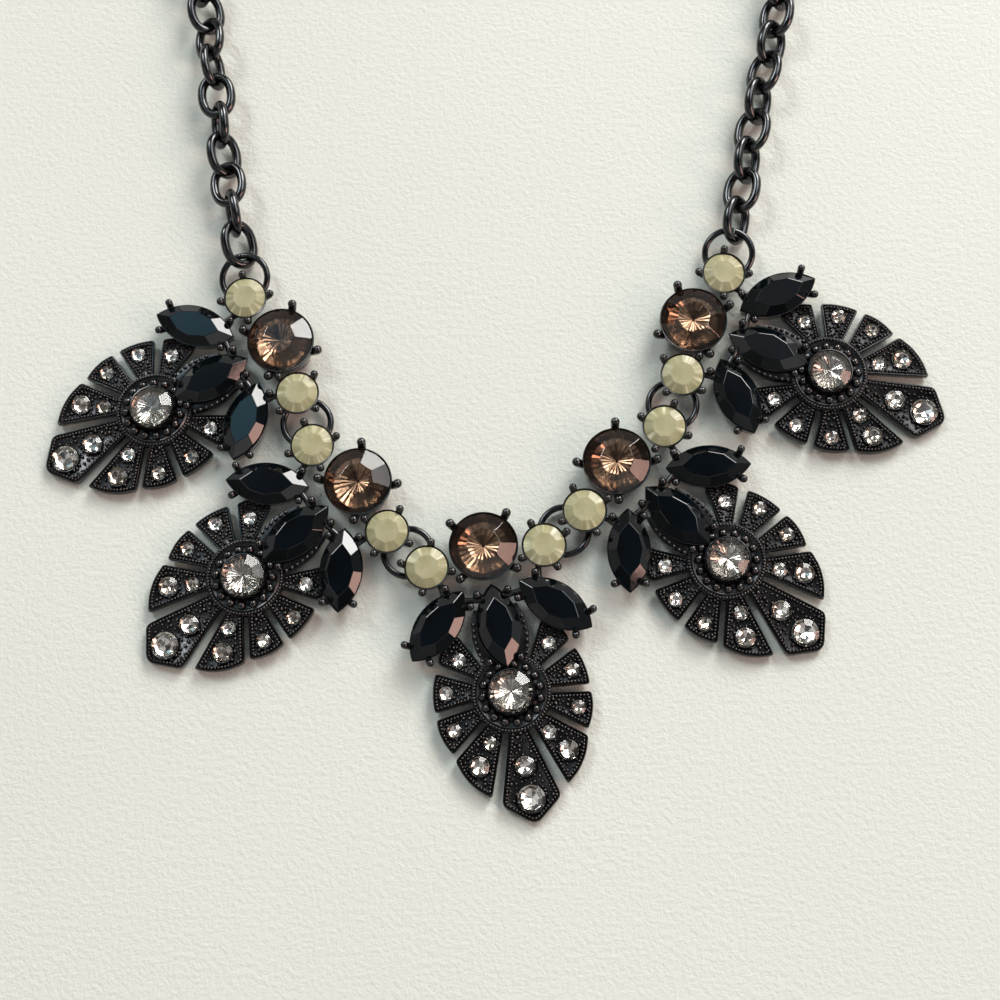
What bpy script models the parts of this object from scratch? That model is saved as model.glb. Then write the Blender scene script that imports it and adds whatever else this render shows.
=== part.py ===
"""A bib necklace that lies on a flat surface. Metres, +Z up.

Five equal jewelled stations hang side by side from jump rings, and two runs of cable chain close the loop
at a clasp. The origin is on the surface, under the brown stone of the middle station. A station is drawn
with its brown stone at (0, 0) and its leaf pointing to -Y, then turned and moved to its place.
"""
import math

import bmesh
import bpy
from mathutils import Matrix, Vector

# Fit
GAP = 0.0003
CUP_WALL = 0.0004
RIM_OVER_GIRDLE = 0.0002
CUP_FUSE = 0.0001
WELD = 0.00001

# Round stones: radius, height of the girdle, crown above it and point below it
BROWN_RADIUS = 0.0054
BROWN_GIRDLE = 0.0039
BROWN_CROWN = 0.0017
BROWN_POINT = 0.0026
OPAL_RADIUS = 0.0034
OPAL_GIRDLE = 0.0040
OPAL_CROWN = 0.0010
OPAL_POINT = 0.0008
CLEAR_RADIUS = 0.0035
CLEAR_GIRDLE = 0.0045
CLEAR_CROWN = 0.0010
CLEAR_POINT = 0.0018
TABLE_SHARE = 0.58

# Navette stones
NAVETTE_LENGTH = 0.0139
NAVETTE_WIDTH = 0.0069
NAVETTE_GIRDLE = 0.0036
NAVETTE_CROWN = 0.0012
NAVETTE_POINT = 0.0014
NAVETTE_TURN = 44.0

# Cups: height of the foot, and how far the foot draws in from the rim
BROWN_FOOT = 0.0
OPAL_FOOT = 0.0023
NAVETTE_FOOT = 0.0010
CUP_DRAFT = 0.0010

# Places on a station
OPAL_DROP_ANGLE = 10.3
SIDE_NAVETTE_ANGLE = 50.0
SIDE_NAVETTE_SPACE = 0.0016
STONE_SPACE = 0.0006

# Claw posts
CLAW_RADIUS = 0.0006
CLAW_OVER_RIM = 0.0006
CLAW_STAND_OFF = 0.00055
CLAW_LEAN = 0.0011
CLAW_HEIGHT = 0.0021
CLAW_ANGLES = (45, 135, 225, 315)

# Bars that tie the cups, and where they end inside the navettes, as shares of the length and width
BAR_WIDTH = 0.0012
BAR_HEIGHT = 0.0010
BAR_MIDDLE = 0.0030
BAR_ALONG_SHARE = 0.36
BAR_ACROSS_SHARE = 0.18
OPAL_BAR_SHARE = 0.8

# Leaf-shaped plaque about the clear stone
LEAF_LENGTH = 0.0215
LEAF_THICKNESS = 0.0013
LEAF_FALL = 0.0933
HUB_RADIUS = 0.0066
HUB_RIDGE_RADIUS = 0.0057
HUB_RIDGE = 0.0003
HUB_LAP = 0.0010
HUB_TURN = 15.0
PETAL_RIM = 0.00065
PETAL_FLOOR = 0.0003
# The leaf's outline: angle from its tip, and radius as a share of the leaf's length
LEAF_OUTLINE = (
    (0, 1.0), (16, 0.846), (21, 0.803), (36, 0.745), (51, 0.662), (55, 0.638),
    (68, 0.630), (83, 0.605), (100, 0.597), (113, 0.600), (150, 0.640),
)
# The slots cut between the petals: angle from the tip, width at the hub, width at the edge
LEAF_SLOTS = (
    (18.5, 0.00095, 0.00175), (52.5, 0.00085, 0.00095), (83.5, 0.0009, 0.0012), (118.0, 0.0009, 0.0013),
)
# The petal that carries a side navette: angle from the tip, radius as a share of the leaf's length
SHOULDER_PETAL = ((122, 0.26), (122, 0.605), (127, 0.623), (143, 0.67), (147.6, 0.598), (141, 0.26))

# Jump rings and the eyes that they pass through, under the opal cups
RING_RADIUS = 0.0041
RING_WIRE = 0.0011
RING_HEIGHT = 0.00138
EYE_OUT = 0.0006
EYE_TURN = 20.0
END_RING_OUT = 0.00042
EYE_HOLE = 0.0028
EYE_THICKNESS = 0.0009
EYE_LEG = 0.0006
EYE_BAR = 0.0005

# Stations, outwards from the middle one: side, name, direction of the opal before to this one's opal,
# how much nearer the two opals lie than the rings allow, and the station's turn
STATIONS = (
    (1, "right_mid", 41.2, 0.0004, 46.8),
    (1, "right_end", 70.5, -0.0003, 67.6),
    (-1, "left_mid", 137.5, 0.0003, -49.1),
    (-1, "left_end", 107.3, -0.0003, -60.9),
)
MIDDLE_TURN = 10.9

# Chain links
LINK_LENGTH = 0.0087
LINK_WIDTH = 0.0070
LINK_WIRE = 0.0015
LINK_FUSE = 0.00012
# Chosen points of the chain's route, from the end rings to the top of the loop
CHAIN_ROUTE = {
    "left": (
        (-0.0433, 0.0543), (-0.0461, 0.0670), (-0.0490, 0.0850), (-0.0515, 0.0999), (-0.0539, 0.1170),
        (-0.0535, 0.1360), (-0.0470, 0.1540), (-0.0345, 0.1680), (-0.0190, 0.1765),
    ),
    "right": (
        (0.0439, 0.0580), (0.0466, 0.0722), (0.0496, 0.0862), (0.0526, 0.0985), (0.0551, 0.1160),
        (0.0548, 0.1350), (0.0485, 0.1535), (0.0360, 0.1680), (0.0200, 0.1765),
    ),
}
LOOP_TOP = (0.0004, 0.1800)
ROUTE_STEPS = 24
FIT_STEPS = 40
# The place of the last chosen point that the photograph shows
SEEN_POINTS = 3
# How far each link rolls about the chain, in degrees, then the pair that repeats
LINK_ROLLS = {
    "left": ((-36, 74, 14, -46, 66, 2, -68, 38, -28), (50, -36)),
    "right": ((-50, 28, -50, 32, -50, 38, -48, 36), (-48, 38)),
}
END_RING_ROLL = {"left": 8, "right": 0}

# Clasp: a closed hook and the eye behind it
HOOK_RADIUS = 0.0026
HOOK_STRETCH = 0.0018
HOOK_WIRE = 0.0019
CLASP_EYE_RADIUS = 0.0021
CLASP_EYE_WIRE = 0.0013
CLASP_ROLL = 25

# Facets
ROUND_SIDES = 16
SMALL_SIDES = 12
NAVETTE_ARC_SIDES = 4
RING_SIDES = 12
LINK_SIDES = 10
WIRE_SIDES = 5
HOOK_WIRE_SIDES = 6

# What follows from the sizes above
CUP_GROWTH = GAP + CUP_WALL
BROWN_CUP = BROWN_RADIUS + CUP_GROWTH
OPAL_CUP = OPAL_RADIUS + CUP_GROWTH
CLEAR_CUP = CLEAR_RADIUS + CUP_GROWTH
NAVETTE_CUP_HALF = NAVETTE_LENGTH / 2 + CUP_GROWTH
OPAL_REACH = BROWN_CUP - CUP_FUSE + OPAL_CUP
MIDDLE_NAVETTE_DROP = BROWN_CUP - CUP_FUSE + NAVETTE_CUP_HALF
SIDE_NAVETTE_REACH = BROWN_CUP + SIDE_NAVETTE_SPACE + NAVETTE_CUP_HALF
HUB_DROP = MIDDLE_NAVETTE_DROP + NAVETTE_LENGTH / 2 + STONE_SPACE + CLEAR_RADIUS
LEAF_TOP_AT_HUB = LEAF_THICKNESS + LEAF_FALL * LEAF_LENGTH
OPAL_SPACING = 2 * (RING_RADIUS + EYE_OUT)
LINK_PITCH = LINK_LENGTH - 2 * LINK_WIRE + LINK_FUSE
# From a joint of the chain to the wire's middle at the link's end
JOINT_TO_TIP = (LINK_LENGTH - LINK_WIRE - LINK_PITCH) / 2
HOOK_SPAN = 2 * (HOOK_RADIUS + HOOK_STRETCH)
CLASP_EYE_SPAN = 2 * CLASP_EYE_RADIUS
CLASP_SPAN = HOOK_SPAN + CLASP_EYE_SPAN - (HOOK_WIRE + CLASP_EYE_WIRE) / 4


def polar(radius, degrees):
    """A point at an angle from +X."""
    turn = math.radians(degrees)
    return Vector((radius * math.cos(turn), radius * math.sin(turn)))


def leaf_point(radius, degrees):
    """A point of the leaf: radius from the clear stone, and angle from the leaf's tip."""
    turn = math.radians(degrees)
    return Vector((radius * math.sin(turn), -HUB_DROP - radius * math.cos(turn)))


def leaf_top(radius):
    """Height of the leaf's upper side, which falls from the hub to the tip."""
    return LEAF_TOP_AT_HUB - LEAF_FALL * radius


def leaf_edge(degrees):
    """Radius of the leaf's outline at an angle from its tip."""
    for (low, near), (high, far) in zip(LEAF_OUTLINE, LEAF_OUTLINE[1:]):
        if degrees <= high:
            share = near + (far - near) * (degrees - low) / (high - low)
            return share * LEAF_LENGTH
    return LEAF_OUTLINE[-1][1] * LEAF_LENGTH


def opal_place(side):
    place = polar(OPAL_REACH, -OPAL_DROP_ANGLE)
    return Vector((side * place.x, place.y))


def side_navette_place(side):
    place = polar(SIDE_NAVETTE_REACH, -SIDE_NAVETTE_ANGLE)
    return Vector((side * place.x, place.y))


# Scene and materials

def clear_scene():
    for item in list(bpy.data.objects):
        bpy.data.objects.remove(item)


def new_collection(name, cutter=False):
    group = bpy.data.collections.new(name)
    bpy.context.scene.collection.children.link(group)
    group.hide_render = cutter
    return group


def material(name, color, roughness, metallic):
    finish = bpy.data.materials.new(name)
    finish.use_nodes = True
    shader = finish.node_tree.nodes["Principled BSDF"]
    shader.inputs["Base Color"].default_value = (*color, 1)
    shader.inputs["Roughness"].default_value = roughness
    shader.inputs["Metallic"].default_value = metallic
    finish.diffuse_color = (*color, 1)
    return finish


def place_object(name, mesh, group, matrix=None, finish=None):
    item = bpy.data.objects.new(name, mesh)
    group.objects.link(item)
    if matrix is not None:
        item.matrix_world = matrix
    if finish is not None and not mesh.materials:
        mesh.materials.append(finish)
    return item


def mesh_from(bm, name):
    bmesh.ops.recalc_face_normals(bm, faces=bm.faces)
    mesh = bpy.data.meshes.new(name)
    bm.to_mesh(mesh)
    bm.free()
    return mesh


# Solid shapes

def round_outline(radius, sides, grow=0.0):
    return [polar(radius + grow, 360 * step / sides) for step in range(sides)]


def navette_outline(grow=0.0):
    """Two equal arcs that meet in a tip at each end, along X, offset outwards by grow."""
    half, across = NAVETTE_LENGTH / 2, NAVETTE_WIDTH / 2
    arc = (half * half + across * across) / (2 * across)
    centre = arc - across
    reach = math.acos(centre / (arc + grow))
    upper = []
    for step in range(NAVETTE_ARC_SIDES):
        turn = reach * (1 - 2 * step / NAVETTE_ARC_SIDES)
        upper.append(Vector(((arc + grow) * math.sin(turn), (arc + grow) * math.cos(turn) - centre)))
    return upper + [-point for point in upper]


def hull(points, name):
    """The convex solid of some points."""
    bm = bmesh.new()
    for point in points:
        bm.verts.new(point)
    bmesh.ops.convex_hull(bm, input=bm.verts)
    bmesh.ops.dissolve_limit(bm, angle_limit=math.radians(0.2), verts=bm.verts, edges=bm.edges)
    return mesh_from(bm, name)


def cut_stone(name, outline, table, girdle, crown, point):
    """A stone with a flat table over its girdle and facets down to a point."""
    corners = [(*spot, girdle) for spot in outline]
    corners += [(*spot, girdle + crown) for spot in table]
    return hull(corners + [(0, 0, girdle - point)], name)


def seat(name, outline, across, girdle, point, above):
    """The cutter that opens a cup for a stone: its facets and sides set off by the gap."""
    slope = point / across
    apex = girdle - point - GAP * math.hypot(1, slope)
    shoulder = apex + slope * (across + GAP)
    corners = [(*spot, shoulder) for spot in outline]
    corners += [(*spot, girdle + above) for spot in outline]
    return hull(corners + [(0, 0, apex)], name)


def tapered(name, foot_outline, foot, rim_outline, rim):
    """A closed cup body between two outlines."""
    return hull([(*spot, foot) for spot in foot_outline] + [(*spot, rim) for spot in rim_outline], name)


def box_between(name, start, end, middle):
    """A bar of the bars' section between two points of a station."""
    along = (end - start).to_3d()
    bm = bmesh.new()
    bmesh.ops.create_cube(bm, size=1)
    bmesh.ops.scale(bm, vec=(along.length, BAR_WIDTH, BAR_HEIGHT), verts=bm.verts)
    turn = Matrix.Rotation(math.atan2(along.y, along.x), 4, "Z")
    centre = ((start + end) / 2).to_3d() + Vector((0, 0, middle))
    bm.transform(Matrix.Translation(centre) @ turn)
    return mesh_from(bm, name)


def claw(name, foot, head):
    """A three-sided post that leans from its foot to its head."""
    along = head - foot
    bm = bmesh.new()
    bmesh.ops.create_cone(bm, cap_ends=True, segments=3, radius1=CLAW_RADIUS, radius2=CLAW_RADIUS,
                          depth=along.length)
    turn = along.to_track_quat("Z", "Y").to_matrix().to_4x4()
    bm.transform(Matrix.Translation((foot + head) / 2) @ turn)
    return mesh_from(bm, name)


def turned(name, profile, sides):
    """A solid turned about Z from a profile that runs down its outer side, axis to axis."""
    mesh = bpy.data.meshes.new(name)
    mesh.from_pydata([(radius, 0, height) for radius, height in profile],
                     [(step, step + 1) for step in range(len(profile) - 1)], [])
    item = bpy.data.objects.new(name, mesh)
    bpy.context.scene.collection.objects.link(item)
    screw = item.modifiers.new("turn", "SCREW")
    screw.steps = sides
    screw.render_steps = sides
    screw.use_merge_vertices = True
    screw.merge_threshold = WELD
    return evaluated(item, name)


def evaluated(item, name):
    """The object's mesh with its modifiers applied, and the object removed."""
    graph = bpy.context.evaluated_depsgraph_get()
    mesh = bpy.data.meshes.new_from_object(item.evaluated_get(graph))
    mesh.name = name
    bpy.data.objects.remove(item)
    return mesh


def combined(name, base, others, operation):
    """The exact union or difference of a mesh with the meshes of a list."""
    group = new_collection(name + "_" + operation.lower(), cutter=True)
    for other in others:
        tool = place_object(other.name, other, group)
        tool.hide_render = True
        tool.display_type = "WIRE"
    item = place_object(name, base, bpy.context.scene.collection)
    join = item.modifiers.new("combine", "BOOLEAN")
    join.operation = operation
    join.operand_type = "COLLECTION"
    join.collection = group
    join.solver = "EXACT"
    bpy.context.view_layer.update()
    mesh = evaluated(item, name)
    for tool in list(group.objects):
        bpy.data.objects.remove(tool)
    bpy.data.collections.remove(group)
    return mesh


def moved(mesh, matrix, name=None):
    copy = mesh.copy()
    copy.transform(matrix)
    if name:
        copy.name = name
    return copy


def wire_loop(name, radius, stretch, wire, sides, wire_sides):
    """A closed loop of wire in the XY plane: two half circles drawn apart along X by twice the stretch."""
    bm = bmesh.new()
    bmesh.ops.create_circle(bm, segments=wire_sides, radius=wire / 2)
    # A corner of the section faces the loop's middle, so that neighbours touch along their ridges
    bm.transform(Matrix.Rotation(math.pi / 2, 4, "Y") @ Matrix.Rotation(math.pi / 2, 4, "Z"))
    bm.transform(Matrix.Translation((0, radius, 0)))
    section = list(bm.verts)
    inner = min(section, key=lambda corner: corner.co.y)
    tilt = math.atan2(inner.co.z, radius - inner.co.y)
    bmesh.ops.rotate(bm, cent=(0, radius, 0), matrix=Matrix.Rotation(tilt, 3, "X"), verts=section)
    bmesh.ops.rotate(bm, cent=(0, 0, 0), matrix=Matrix.Rotation(-math.pi / 2, 3, "Z"), verts=section)
    bmesh.ops.spin(bm, geom=bm.edges[:], cent=(0, 0, 0), axis=(0, 0, 1), angle=2 * math.pi, steps=sides,
                   use_merge=True)
    bmesh.ops.remove_doubles(bm, verts=bm.verts, dist=WELD)
    for corner in bm.verts:
        if abs(corner.co.x) > WELD:
            corner.co.x += math.copysign(stretch, corner.co.x)
    return mesh_from(bm, name)


# Stones

def round_stone(name, radius, girdle, crown, point, sides):
    """The table has half as many corners as the girdle, turned to face its edges."""
    table = [polar(radius * TABLE_SHARE, 360 * (step + 0.5) / (sides // 2)) for step in range(sides // 2)]
    return cut_stone(name, round_outline(radius, sides), table, girdle, crown, point)


def navette_stone():
    across = NAVETTE_WIDTH / 2 * TABLE_SHARE
    along = NAVETTE_LENGTH / 2 * TABLE_SHARE
    table = [Vector(spot) for spot in (
        (along, 0), (along / 2, across), (-along / 2, across),
        (-along, 0), (-along / 2, -across), (along / 2, -across))]
    return cut_stone("navette", navette_outline(), table, NAVETTE_GIRDLE, NAVETTE_CROWN, NAVETTE_POINT)


def at(spot, degrees=0.0):
    return Matrix.Translation(spot.to_3d()) @ Matrix.Rotation(math.radians(degrees), 4, "Z")


def navette_matrices():
    """The three navettes of a station: left, middle, right."""
    return (
        ("left", at(side_navette_place(-1), 180 + NAVETTE_TURN)),
        ("middle", at(Vector((0, -MIDDLE_NAVETTE_DROP)), -90)),
        ("right", at(side_navette_place(1), -NAVETTE_TURN)),
    )


# The setting: cups, claws, bars, leaf and eyes in one casting

def round_cup(name, place, radius, foot, girdle, sides):
    rim = girdle + RIM_OVER_GIRDLE
    mesh = tapered(name, round_outline(radius, sides, -CUP_DRAFT), foot, round_outline(radius, sides), rim)
    return moved(mesh, at(place), name)


def navette_cup(matrix):
    mesh = tapered("navette_cup", navette_outline(CUP_GROWTH - CUP_DRAFT), NAVETTE_FOOT,
                   navette_outline(CUP_GROWTH), NAVETTE_GIRDLE + RIM_OVER_GIRDLE)
    return moved(mesh, matrix)


def brown_claws():
    """Claws round the brown cup lean out from its side to stand off from its rim."""
    found = []
    for degrees in CLAW_ANGLES:
        low = polar(BROWN_CUP + CLAW_STAND_OFF - CLAW_LEAN, degrees).to_3d()
        high = polar(BROWN_CUP + CLAW_STAND_OFF, degrees).to_3d()
        low.z = BROWN_GIRDLE - CLAW_HEIGHT
        high.z = BROWN_GIRDLE + RIM_OVER_GIRDLE + CLAW_OVER_RIM
        found.append(claw("claw", low, high))
    return found


def bars():
    """Bars from the side navettes to the middle one and to the opals."""
    found = []
    for side in (-1, 1):
        opal = opal_place(side)
        navette = side_navette_place(side)
        along = polar(NAVETTE_LENGTH * BAR_ALONG_SHARE, -NAVETTE_TURN)
        inner_end = navette - Vector((side * along.x, along.y))
        middle_side = Vector((side * NAVETTE_WIDTH * BAR_ACROSS_SHARE, inner_end.y - CUP_DRAFT / 2))
        found.append(box_between("bar", middle_side, inner_end, BAR_MIDDLE))
        down = inner_end - opal
        start = opal + down.normalized() * (OPAL_CUP - CUP_DRAFT)
        end = opal + down * OPAL_BAR_SHARE + Vector((side * CUP_DRAFT, 0))
        found.append(box_between("bar", start, end, BAR_MIDDLE))
    return found


def hub():
    """The raised cup of the clear stone, in a disc with a ridge round it."""
    rim = CLEAR_GIRDLE + RIM_OVER_GIRDLE
    edge = leaf_top(HUB_RADIUS)
    ledge = leaf_top(CLEAR_CUP)
    profile = [
        (0, rim), (CLEAR_CUP, rim), (CLEAR_CUP, ledge), (HUB_RIDGE_RADIUS, ledge + HUB_RIDGE),
        (HUB_RADIUS, edge), (HUB_RADIUS, edge - LEAF_THICKNESS), (0, edge - LEAF_THICKNESS),
    ]
    return moved(turned("hub", profile, SMALL_SIDES), at(Vector((0, -HUB_DROP)), HUB_TURN))


def petal(name, corners):
    """One petal: a plate cut to the corners, its floor sunk inside a rim, tilted down from the hub.

    Each corner is an angle from the leaf's tip and a radius from the clear stone.
    """
    bm = bmesh.new()
    middle = sum(degrees for degrees, radius in corners) / len(corners)
    spots = [leaf_point(radius, degrees - middle) for degrees, radius in corners]
    top = bm.faces.new([bm.verts.new((spot.x, spot.y + HUB_DROP, -LEAF_THICKNESS)) for spot in spots])
    raised = bmesh.ops.extrude_face_region(bm, geom=[top])
    upper = [item for item in raised["geom"] if isinstance(item, bmesh.types.BMVert)]
    bmesh.ops.translate(bm, verts=upper, vec=(0, 0, LEAF_THICKNESS))
    bmesh.ops.recalc_face_normals(bm, faces=bm.faces)
    top = max(bm.faces, key=lambda item: item.calc_center_median().z)
    bmesh.ops.inset_region(bm, faces=[top], thickness=PETAL_RIM, use_even_offset=True)
    bmesh.ops.inset_region(bm, faces=[top], thickness=0, depth=-PETAL_FLOOR)
    tilt = Matrix.Rotation(math.atan(LEAF_FALL), 4, "X")
    place = Matrix.Translation((0, -HUB_DROP, LEAF_TOP_AT_HUB))
    bm.transform(place @ Matrix.Rotation(math.radians(middle), 4, "Z") @ tilt)
    return mesh_from(bm, name)


def slot_angles(slot, radius, width, side):
    """Angle of a slot's side at a radius."""
    return slot + side * math.degrees(math.asin(width / 2 / radius))


def petals():
    """Nine petals: the tip, three on each side between the slots, and two that carry the side navettes."""
    inner = HUB_RADIUS - HUB_LAP
    found = []
    first, near, far = LEAF_SLOTS[0]
    edge = leaf_edge(first)
    start = slot_angles(first, inner, near, -1)
    end = slot_angles(first, edge, far, -1)
    corners = [(-start, inner), (start, inner), (end, leaf_edge(end)), (0, LEAF_LENGTH),
               (-end, leaf_edge(end))]
    found.append(petal("petal_tip", corners))
    for (low, low_near, low_far), (high, high_near, high_far) in zip(LEAF_SLOTS, LEAF_SLOTS[1:]):
        low_edge = slot_angles(low, leaf_edge(low), low_far, 1)
        high_edge = slot_angles(high, leaf_edge(high), high_far, -1)
        centre = (low_edge + high_edge) / 2
        corners = [(slot_angles(low, inner, low_near, 1), inner), (low_edge, leaf_edge(low_edge)),
                   (high_edge, leaf_edge(high_edge)), (slot_angles(high, inner, high_near, -1), inner)]
        if low == first:
            corners.insert(2, (centre, leaf_edge(centre)))
        for side in (-1, 1):
            found.append(petal("petal", [(side * degrees, radius) for degrees, radius in corners]))
    for side in (-1, 1):
        found.append(petal("petal_shoulder",
                           [(side * degrees, share * LEAF_LENGTH) for degrees, share in SHOULDER_PETAL]))
    return found


def eye(side):
    """A staple under an opal cup, open across the line to the next station."""
    outer = EYE_HOLE / 2 + EYE_LEG
    inner = EYE_HOLE / 2
    top = OPAL_FOOT + CUP_DRAFT / 2
    outline = [(-outer, 0), (outer, 0), (outer, top), (inner, top), (inner, EYE_BAR), (-inner, EYE_BAR),
               (-inner, top), (-outer, top)]
    bm = bmesh.new()
    face = bm.faces.new([bm.verts.new((along, -EYE_THICKNESS / 2, height)) for along, height in outline])
    swept = bmesh.ops.extrude_face_region(bm, geom=[face])
    far = [item for item in swept["geom"] if isinstance(item, bmesh.types.BMVert)]
    bmesh.ops.translate(bm, verts=far, vec=(0, EYE_THICKNESS, 0))
    outward = polar(EYE_OUT, EYE_TURN)
    place = opal_place(side) + Vector((side * outward.x, outward.y))
    bm.transform(at(place, side * EYE_TURN))
    return mesh_from(bm, "eye")


def setting():
    """One station's casting, with its seats cut for the stones."""
    pieces = petals() + bars() + [eye(-1), eye(1)]
    origin = Vector((0, 0))
    brown_cup = round_cup("brown_cup", origin, BROWN_CUP, BROWN_FOOT, BROWN_GIRDLE, ROUND_SIDES)
    pieces += brown_claws()
    for side in (-1, 1):
        place = opal_place(side)
        pieces.append(round_cup("opal_cup", place, OPAL_CUP, OPAL_FOOT, OPAL_GIRDLE, SMALL_SIDES))
    for name, matrix in navette_matrices():
        pieces.append(navette_cup(matrix))
    pieces.append(hub())
    solid = combined("setting", brown_cup, pieces, "UNION")
    above = CLAW_OVER_RIM + BROWN_CROWN
    seats = [seat("seat", round_outline(BROWN_RADIUS, ROUND_SIDES, GAP), BROWN_RADIUS, BROWN_GIRDLE,
                  BROWN_POINT, above)]
    for side in (-1, 1):
        opal_seat = seat("seat", round_outline(OPAL_RADIUS, SMALL_SIDES, GAP), OPAL_RADIUS, OPAL_GIRDLE,
                         OPAL_POINT, above)
        seats.append(moved(opal_seat, at(opal_place(side))))
    for name, matrix in navette_matrices():
        navette_seat = seat("seat", navette_outline(GAP), NAVETTE_WIDTH / 2, NAVETTE_GIRDLE, NAVETTE_POINT,
                            above)
        seats.append(moved(navette_seat, matrix))
    clear_seat = seat("seat", round_outline(CLEAR_RADIUS, SMALL_SIDES, GAP), CLEAR_RADIUS, CLEAR_GIRDLE,
                      CLEAR_POINT, above)
    seats.append(moved(clear_seat, at(Vector((0, -HUB_DROP)), HUB_TURN)))
    return combined("setting", solid, seats, "DIFFERENCE")


# Stations

def station_matrices():
    """Each station's name and place: outwards from the middle one, an opal of the next lies a ring away."""
    found = [("middle", at(Vector((0, 0)), MIDDLE_TURN))]
    for side in (1, -1):
        matrix = found[0][1]
        for row_side, name, direction, nearer, turn in STATIONS:
            if row_side != side:
                continue
            before = (matrix @ opal_place(side).to_3d()).to_2d()
            after = before + polar(OPAL_SPACING - nearer, direction)
            own = at(Vector((0, 0)), turn) @ opal_place(-side).to_3d()
            matrix = at(after - own.to_2d(), turn)
            found.append((name, matrix))
    return found


def ring_places(stations):
    """Name and middle of each ring between two stations."""
    place = dict(stations)
    pairs = (("right_inner", "middle", "right_mid", 1), ("right_outer", "right_mid", "right_end", 1),
             ("left_inner", "middle", "left_mid", -1), ("left_outer", "left_mid", "left_end", -1))
    for name, near, far, side in pairs:
        start = place[near] @ opal_place(side).to_3d()
        end = place[far] @ opal_place(-side).to_3d()
        yield name, (start + end) / 2


# Chain

def smooth_route(points):
    """Points of a smooth curve through the chosen ones."""
    ends = [2 * points[0] - points[1]] + points + [2 * points[-1] - points[-2]]
    found = []
    for before, start, end, after in zip(ends, ends[1:], ends[2:], ends[3:]):
        for step in range(ROUTE_STEPS):
            t = step / ROUTE_STEPS
            found.append(0.5 * (2 * start + (end - before) * t
                                + (2 * before - 5 * start + 4 * end - after) * t * t
                                + (3 * start - before - 3 * end + after) * t * t * t))
    return found + [points[-1]]


def route_length(route):
    return sum((end - start).length for start, end in zip(route, route[1:]))


def along_route(route, distance):
    for start, end in zip(route, route[1:]):
        step = (end - start).length
        if distance <= step:
            return start + (end - start) * (distance / step)
        distance -= step
    return route[-1]


def fitted_route(side, start, end, length):
    """The chosen route, its free part swung in or out until it is exactly the chain's length."""
    seen = CHAIN_ROUTE[side][SEEN_POINTS][1]

    def swung(swing):
        points = [start]
        for x, y in CHAIN_ROUTE[side]:
            free = min(max((y - seen) / (LOOP_TOP[1] - seen), 0), 1)
            points.append(Vector((x * (1 + (swing - 1) * math.sin(math.pi * free)), y)))
        return smooth_route(points + [end])

    low, high = 0.5, 2.0
    for _ in range(FIT_STEPS):
        swing = (low + high) / 2
        if route_length(swung(swing)) > length:
            high = swing
        else:
            low = swing
    return swung(low)


def link_frame(start, end, roll):
    """Frame of a loop whose long side runs from start to end, rolled about it."""
    along = (end - start).normalized()
    side = along.cross(Vector((0, 0, 1))).normalized()
    up = side.cross(along)
    turn = math.radians(roll)
    across = side * math.cos(turn) + up * math.sin(turn)
    normal = along.cross(across)
    frame = Matrix((along, across, normal)).transposed().to_4x4()
    return Matrix.Translation((start + end) / 2) @ frame


def chain_joints(side, opal, toward_clasp):
    """Joints between the links, from the end ring to the clasp, and each link's roll."""
    toward = (Vector(CHAIN_ROUTE[side][0]) - opal).normalized()
    ring_tip = opal + toward * (END_RING_OUT + 2 * RING_RADIUS)
    first = ring_tip - toward * ((RING_WIRE + LINK_WIRE) / 2 + GAP - JOINT_TO_TIP)
    rough = smooth_route([first] + [Vector(spot) for spot in CHAIN_ROUTE[side]] + [toward_clasp])
    rolls, pair = LINK_ROLLS[side]
    # The rolls end with a whole pair, so that the last link crosses the clasp
    pairs = round((route_length(rough) / LINK_PITCH - len(rolls)) / 2)
    count = len(rolls) + 2 * pairs
    route = fitted_route(side, first, toward_clasp, count * LINK_PITCH)
    rolls = [rolls[step] if step < len(rolls) else pair[(step - len(rolls)) % 2] for step in range(count)]
    reach = (LINK_WIDTH - LINK_WIRE) / 2
    heights = [reach * abs(math.sin(math.radians(roll))) + LINK_WIRE / 2 for roll in rolls]
    joints = []
    for step in range(count + 1):
        spot = along_route(route, step * LINK_PITCH)
        height = max(heights[max(step - 1, 0):step + 1])
        joints.append(spot.to_3d() + Vector((0, 0, height)))
    return joints, rolls, ring_tip


def link_mesh():
    half_width = (LINK_WIDTH - LINK_WIRE) / 2
    return wire_loop("link", half_width, (LINK_LENGTH - LINK_WIDTH) / 2, LINK_WIRE, LINK_SIDES, WIRE_SIDES)


def chain_mesh(side, joints, rolls):
    shape = link_mesh()
    links = [moved(shape, link_frame(start, end, roll), "link")
             for start, end, roll in zip(joints, joints[1:], rolls)]
    return combined("chain_" + side, links[0], links[1:], "UNION")


def clasp_mesh(start, end):
    """The hook takes the chain at start, the eye takes the chain at end."""
    along = (end - start).normalized()
    hook = wire_loop("hook", HOOK_RADIUS, HOOK_STRETCH, HOOK_WIRE, RING_SIDES, HOOK_WIRE_SIDES)
    small = wire_loop("eye", CLASP_EYE_RADIUS, 0, CLASP_EYE_WIRE, LINK_SIDES, WIRE_SIDES)
    hook = moved(hook, link_frame(start, start + along * HOOK_SPAN, CLASP_ROLL))
    small = moved(small, link_frame(end - along * CLASP_EYE_SPAN, end, CLASP_ROLL))
    return combined("clasp", hook, [small], "UNION")


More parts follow.
